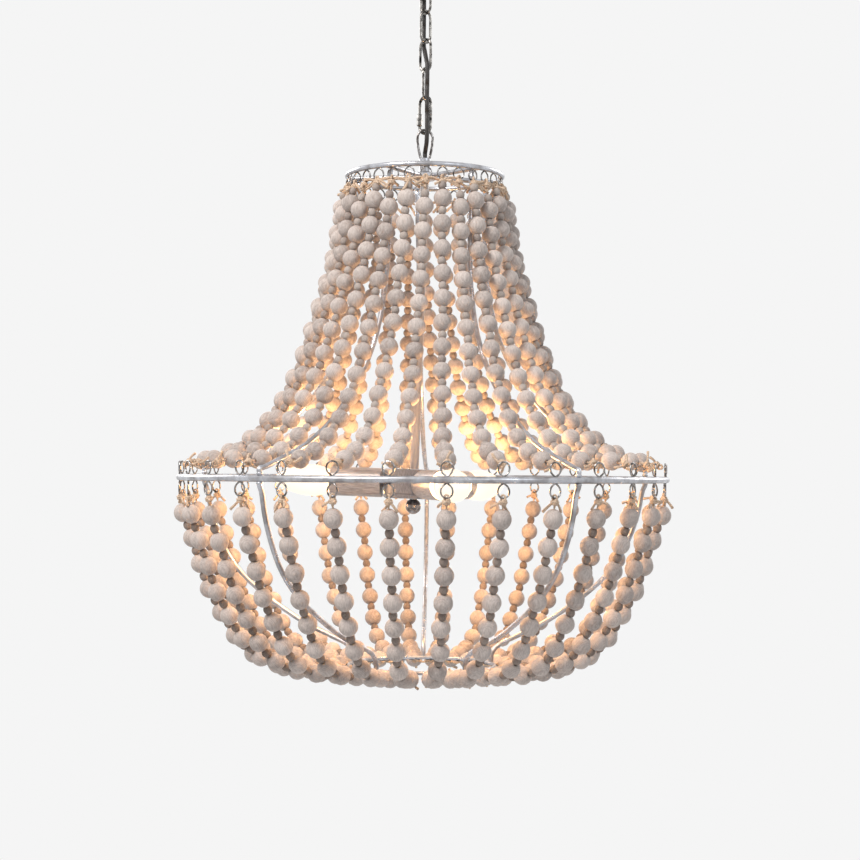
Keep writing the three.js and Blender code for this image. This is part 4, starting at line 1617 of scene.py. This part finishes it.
@dataclass
class CeilingRose:
    """The rose, its nut and the loop on its barrel."""

    skeleton: Skeleton
    palette: Palette
    hanging: Hanging
    radius: float = 62 * MM
    height: float = 30 * MM
    wall: float = 1.6 * MM
    hole: float = 13.6 * MM
    flat: float = 6 * MM  # round the hole
    shares: tuple = ((1, 0), (1, 0.2), (0.93, 0.42), (0.74, 0.7), (0.48, 0.88))
    nut_radius: float = 18 * MM
    nut_height: float = 5 * MM
    nut_bevel: float = 0.8 * MM
    knurl_step: float = 5  # degrees
    knurl_depth_share: float = 0.025
    barrel_radius: float = 13 * MM
    barrel_height: float = 12 * MM
    barrel_bevel: float = 1 * MM
    groove_depth: float = 0.5 * MM
    groove_pitch: float = 1 * MM
    groove_points: int = 10
    loop_rod: float = 4 * MM
    loop_width: float = 24 * MM
    loop_turn: float = math.radians(47)

    def build_rose(self) -> Object:
        """The turned cup against the ceiling."""
        outer = [Vector((r * self.radius, 0, -z * self.height)) for r, z in self.shares]
        outer += [Vector((self.hole + out, 0, -self.height)) for out in (self.flat, 0)]
        outer = through(outer, 4)
        inner = [(max(p.x - self.wall, self.hole), p.z * (1 - self.wall / self.height)) for p in outer[:-1]]
        profile = [(p.x, p.z) for p in outer] + [(self.hole, -self.height + self.wall)] + inner[::-1][1:]
        made = Assembly()
        made.stamp(turned(profile, 72, closed=True))
        piece = sharpened(made.piece("rose_cup", [self.palette.rose]))
        return dress(piece, "rose", Slot.SILVER, "ceiling_rose")

    def build_nut(self) -> Object:
        """The knurled nut under the rose."""
        top = -self.height - self.skeleton.fit
        low, r, bevel = top - self.nut_height, self.nut_radius, self.nut_bevel
        bore = self.barrel_radius + self.skeleton.fit
        bm = turned([
            (bore, low), (r - bevel, low), (r, low + bevel), (r, top - bevel), (r - bevel, top), (bore, top),
        ], round(360 / self.knurl_step), closed=True)
        rim = []
        for vert in bm.verts:
            turn = math.degrees(math.atan2(vert.co.y, vert.co.x))
            hollow = math.floor(turn / self.knurl_step + 0.5) % 2
            if hollow and vert.co.xy.length > r - bevel / 2:
                rim.append(vert)
        kept = 1 - self.knurl_depth_share
        bmesh.ops.scale(bm, vec=(kept, kept, 1), verts=rim)
        made = Assembly()
        made.stamp(bm)
        piece = sharpened(made.piece("rose_nut", [self.palette.chain]), 20)
        return dress(piece, "rose", Slot.CHAIN, "ring_nut")

    def build_loop(self) -> Object:
        """The barrel and the wire loop that the chain hangs from."""
        bottom = self.hanging.barrel_bottom - self.skeleton.drop
        r = self.loop_rod / 2
        wide = self.loop_width / 2 - r
        middle = bottom - self.hanging.loop_drop - r + wide
        start = bottom + self.skeleton.overlap
        line = [(wide, start), *arc((0, middle), wide, 0, -180, 14), (-wide, start)]
        made = Assembly()
        turn = Matrix.Rotation(self.loop_turn, 4, "Z")
        made.stamp(tube([Vector((x, 0, z)) for x, z in line], r, 12), turn)
        top, edge = bottom + self.barrel_height, self.barrel_bevel
        profile = [(0, bottom), (self.barrel_radius - edge, bottom)]
        for i in range(self.groove_points):
            depth = self.groove_depth * (i % 2)
            profile.append((self.barrel_radius - depth, bottom + edge + i * self.groove_pitch))
        profile += [(self.barrel_radius - edge, top), (0, top)]
        made.stamp(turned(profile, 40))
        piece = sharpened(made.piece("barrel_loop", [self.palette.chain]))
        return dress(piece, "ceiling_mount", Slot.CHAIN, "rose_loop")

    def build(self) -> None:
        """Makes the rose."""
        self.build_rose()
        self.build_nut()
        self.build_loop()


# The studio


@dataclass
class Studio:
    """The camera, the light, the pale ground and the air behind."""

    skeleton: Skeleton
    distance: float = 1.94
    height: float = 9.3 * MM
    pixel: float = 1.1 * MM
    horizon: float = 469.9
    axis: float = 423.0
    roll: float = math.radians(0.35)
    sensor: float = 36  # millimetres, as the camera takes it
    far: float = 50
    backdrop: tuple[float, float, float] = (0.913, 0.913, 0.913)
    air: tuple[float, float, float] = (0.9, 0.94, 1.0)
    air_strength: float = 0.4
    floor_colour: tuple[float, float, float] = (0.85, 0.85, 0.85)
    floor_depth: float = 2.4
    floor_reach: float = 3.2
    floor_fade: tuple[float, float] = (0.6, 2.4)
    lamps: tuple = (
        ("key", (-1.3, -1.6, 1.5), 1.0, 78, (1, 0.97, 0.95)),
        ("front right", (1.6, -2.1, 0.5), 1.2, 12, (0.85, 0.93, 1)),
        ("back left", (-1.6, 1.5, 0.4), 1.2, 26, (1, 1, 1)),
        ("back right", (1.7, 1.4, 0.3), 1.2, 20, (1, 1, 1)),
    )

    def build_camera(self) -> None:
        """A level camera at the photograph's distance, framed by a small shift."""
        data = bpy.data.cameras.new("camera")
        data.sensor_width = self.sensor
        data.lens = data.sensor_width * self.distance / (IMAGE_SIZE * self.pixel)
        data.shift_y = (self.horizon - IMAGE_SIZE / 2) / IMAGE_SIZE
        data.shift_x = (IMAGE_SIZE / 2 - self.axis) / IMAGE_SIZE
        data.clip_end = self.far
        camera = bpy.data.objects.new("camera", data)
        camera.location = (0, -self.distance, self.height - self.skeleton.drop)
        camera.rotation_euler = (math.pi / 2, -self.roll, 0)
        bpy.context.scene.collection.objects.link(camera)
        bpy.context.scene.camera = camera

    def build_lamp(self, name: str, place: tuple, size: float, energy: float, colour: tuple) -> None:
        """A soft square lamp that faces the middle of the light."""
        data = bpy.data.lights.new(name, "AREA")
        data.size, data.energy, data.color = size, energy, colour
        lamp = bpy.data.objects.new(name, data)
        lamp.location = place
        aim = Vector((0, 0, -self.skeleton.drop)) - lamp.location
        lamp.rotation_euler = aim.to_track_quat("-Z", "Y").to_euler()
        bpy.context.scene.collection.objects.link(lamp)

    def build_world(self) -> None:
        """Pale air that the camera and reflections see as the backdrop, and softer light for the rest."""
        world = bpy.data.worlds.new("studio")
        world.use_nodes = True
        tree = world.node_tree
        tree.nodes.clear()
        path = node(tree, "ShaderNodeLightPath")
        seen = path.outputs["Is Camera Ray"]
        for name in ("Is Glossy Ray", "Is Transmission Ray"):
            either = node(tree, "ShaderNodeMath", operation="MAXIMUM")
            link(tree, seen, either.inputs[0])
            link(tree, path.outputs[name], either.inputs[1])
            seen = either.outputs[0]
        shown = node(tree, "ShaderNodeBackground")
        shown.inputs["Color"].default_value = (*self.backdrop, 1)
        light = node(tree, "ShaderNodeBackground")
        light.inputs["Color"].default_value = (*self.air, 1)
        light.inputs["Strength"].default_value = self.air_strength
        choose = node(tree, "ShaderNodeMixShader")
        out = node(tree, "ShaderNodeOutputWorld")
        link(tree, seen, choose.inputs[0])
        link(tree, light.outputs[0], choose.inputs[1])
        link(tree, shown.outputs[0], choose.inputs[2])
        link(tree, choose.outputs[0], out.inputs["Surface"])
        bpy.context.scene.world = world

    def build_floor(self) -> None:
        """A pale floor that fades into the air at its edge."""
        bm = bmesh.new()
        bmesh.ops.create_circle(bm, cap_ends=True, segments=64, radius=self.floor_reach)
        made = Assembly()
        made.stamp(bm, Matrix.Translation((0, 0, -self.floor_depth)))
        material = bpy.data.materials.new("pale floor")
        material.use_nodes = True
        tree = material.node_tree
        shader = tree.nodes["Principled BSDF"]
        shader.inputs["Base Color"].default_value = (*self.floor_colour, 1)
        shader.inputs["Roughness"].default_value = 0.9
        place = node(tree, "ShaderNodeTexCoord")
        centre = node(tree, "ShaderNodeMapping")
        centre.inputs["Location"].default_value = (0, 0, self.floor_depth)
        far = node(tree, "ShaderNodeVectorMath", operation="LENGTH")
        fade = node(tree, "ShaderNodeMapRange", interpolation_type="SMOOTHSTEP")
        fade.inputs["From Min"].default_value, fade.inputs["From Max"].default_value = self.floor_fade
        air = node(tree, "ShaderNodeEmission")
        air.inputs["Color"].default_value = (*self.backdrop, 1)
        choose = node(tree, "ShaderNodeMixShader")
        link(tree, place.outputs["Object"], centre.inputs["Vector"])
        link(tree, centre.outputs["Vector"], far.inputs[0])
        link(tree, far.outputs["Value"], fade.inputs["Value"])
        link(tree, fade.outputs["Result"], choose.inputs[0])
        link(tree, shader.outputs[0], choose.inputs[1])
        link(tree, air.outputs[0], choose.inputs[2])
        link(tree, choose.outputs[0], tree.nodes["Material Output"].inputs["Surface"])
        made.piece("floor", [material])

    def build(self) -> None:
        """Sets the studio up."""
        bpy.context.scene.view_settings.view_transform = "Standard"
        self.build_camera()
        self.build_world()
        self.build_floor()
        for lamp in self.lamps:
            self.build_lamp(*lamp)


def dress_strap(strap: Object, palette: Palette) -> None:
    """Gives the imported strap, which stays in view, its finish."""
    strap.data.materials.clear()
    strap.data.materials.append(palette.chain)
    log.info("%s keeps its own form", strap.name)


def main() -> None:
    """Builds every sub-assembly in order."""
    logging.basicConfig(level=logging.INFO, format="%(name)s: %(message)s")
    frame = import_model()
    skeleton = Skeleton()
    palette = Palette()
    Studio(skeleton).build()
    hanging = Hanging(skeleton, palette)
    hanging.build()
    Frame(skeleton, palette).build()
    for tier in Tier:
        Curtain(tier, skeleton, palette).build()
    LampCluster(skeleton, palette).build()
    CeilingRose(skeleton, palette, hanging).build()
    dress_strap(frame["nodes"]["rose_strap"], palette)


if __name__ == "__main__":
    main()
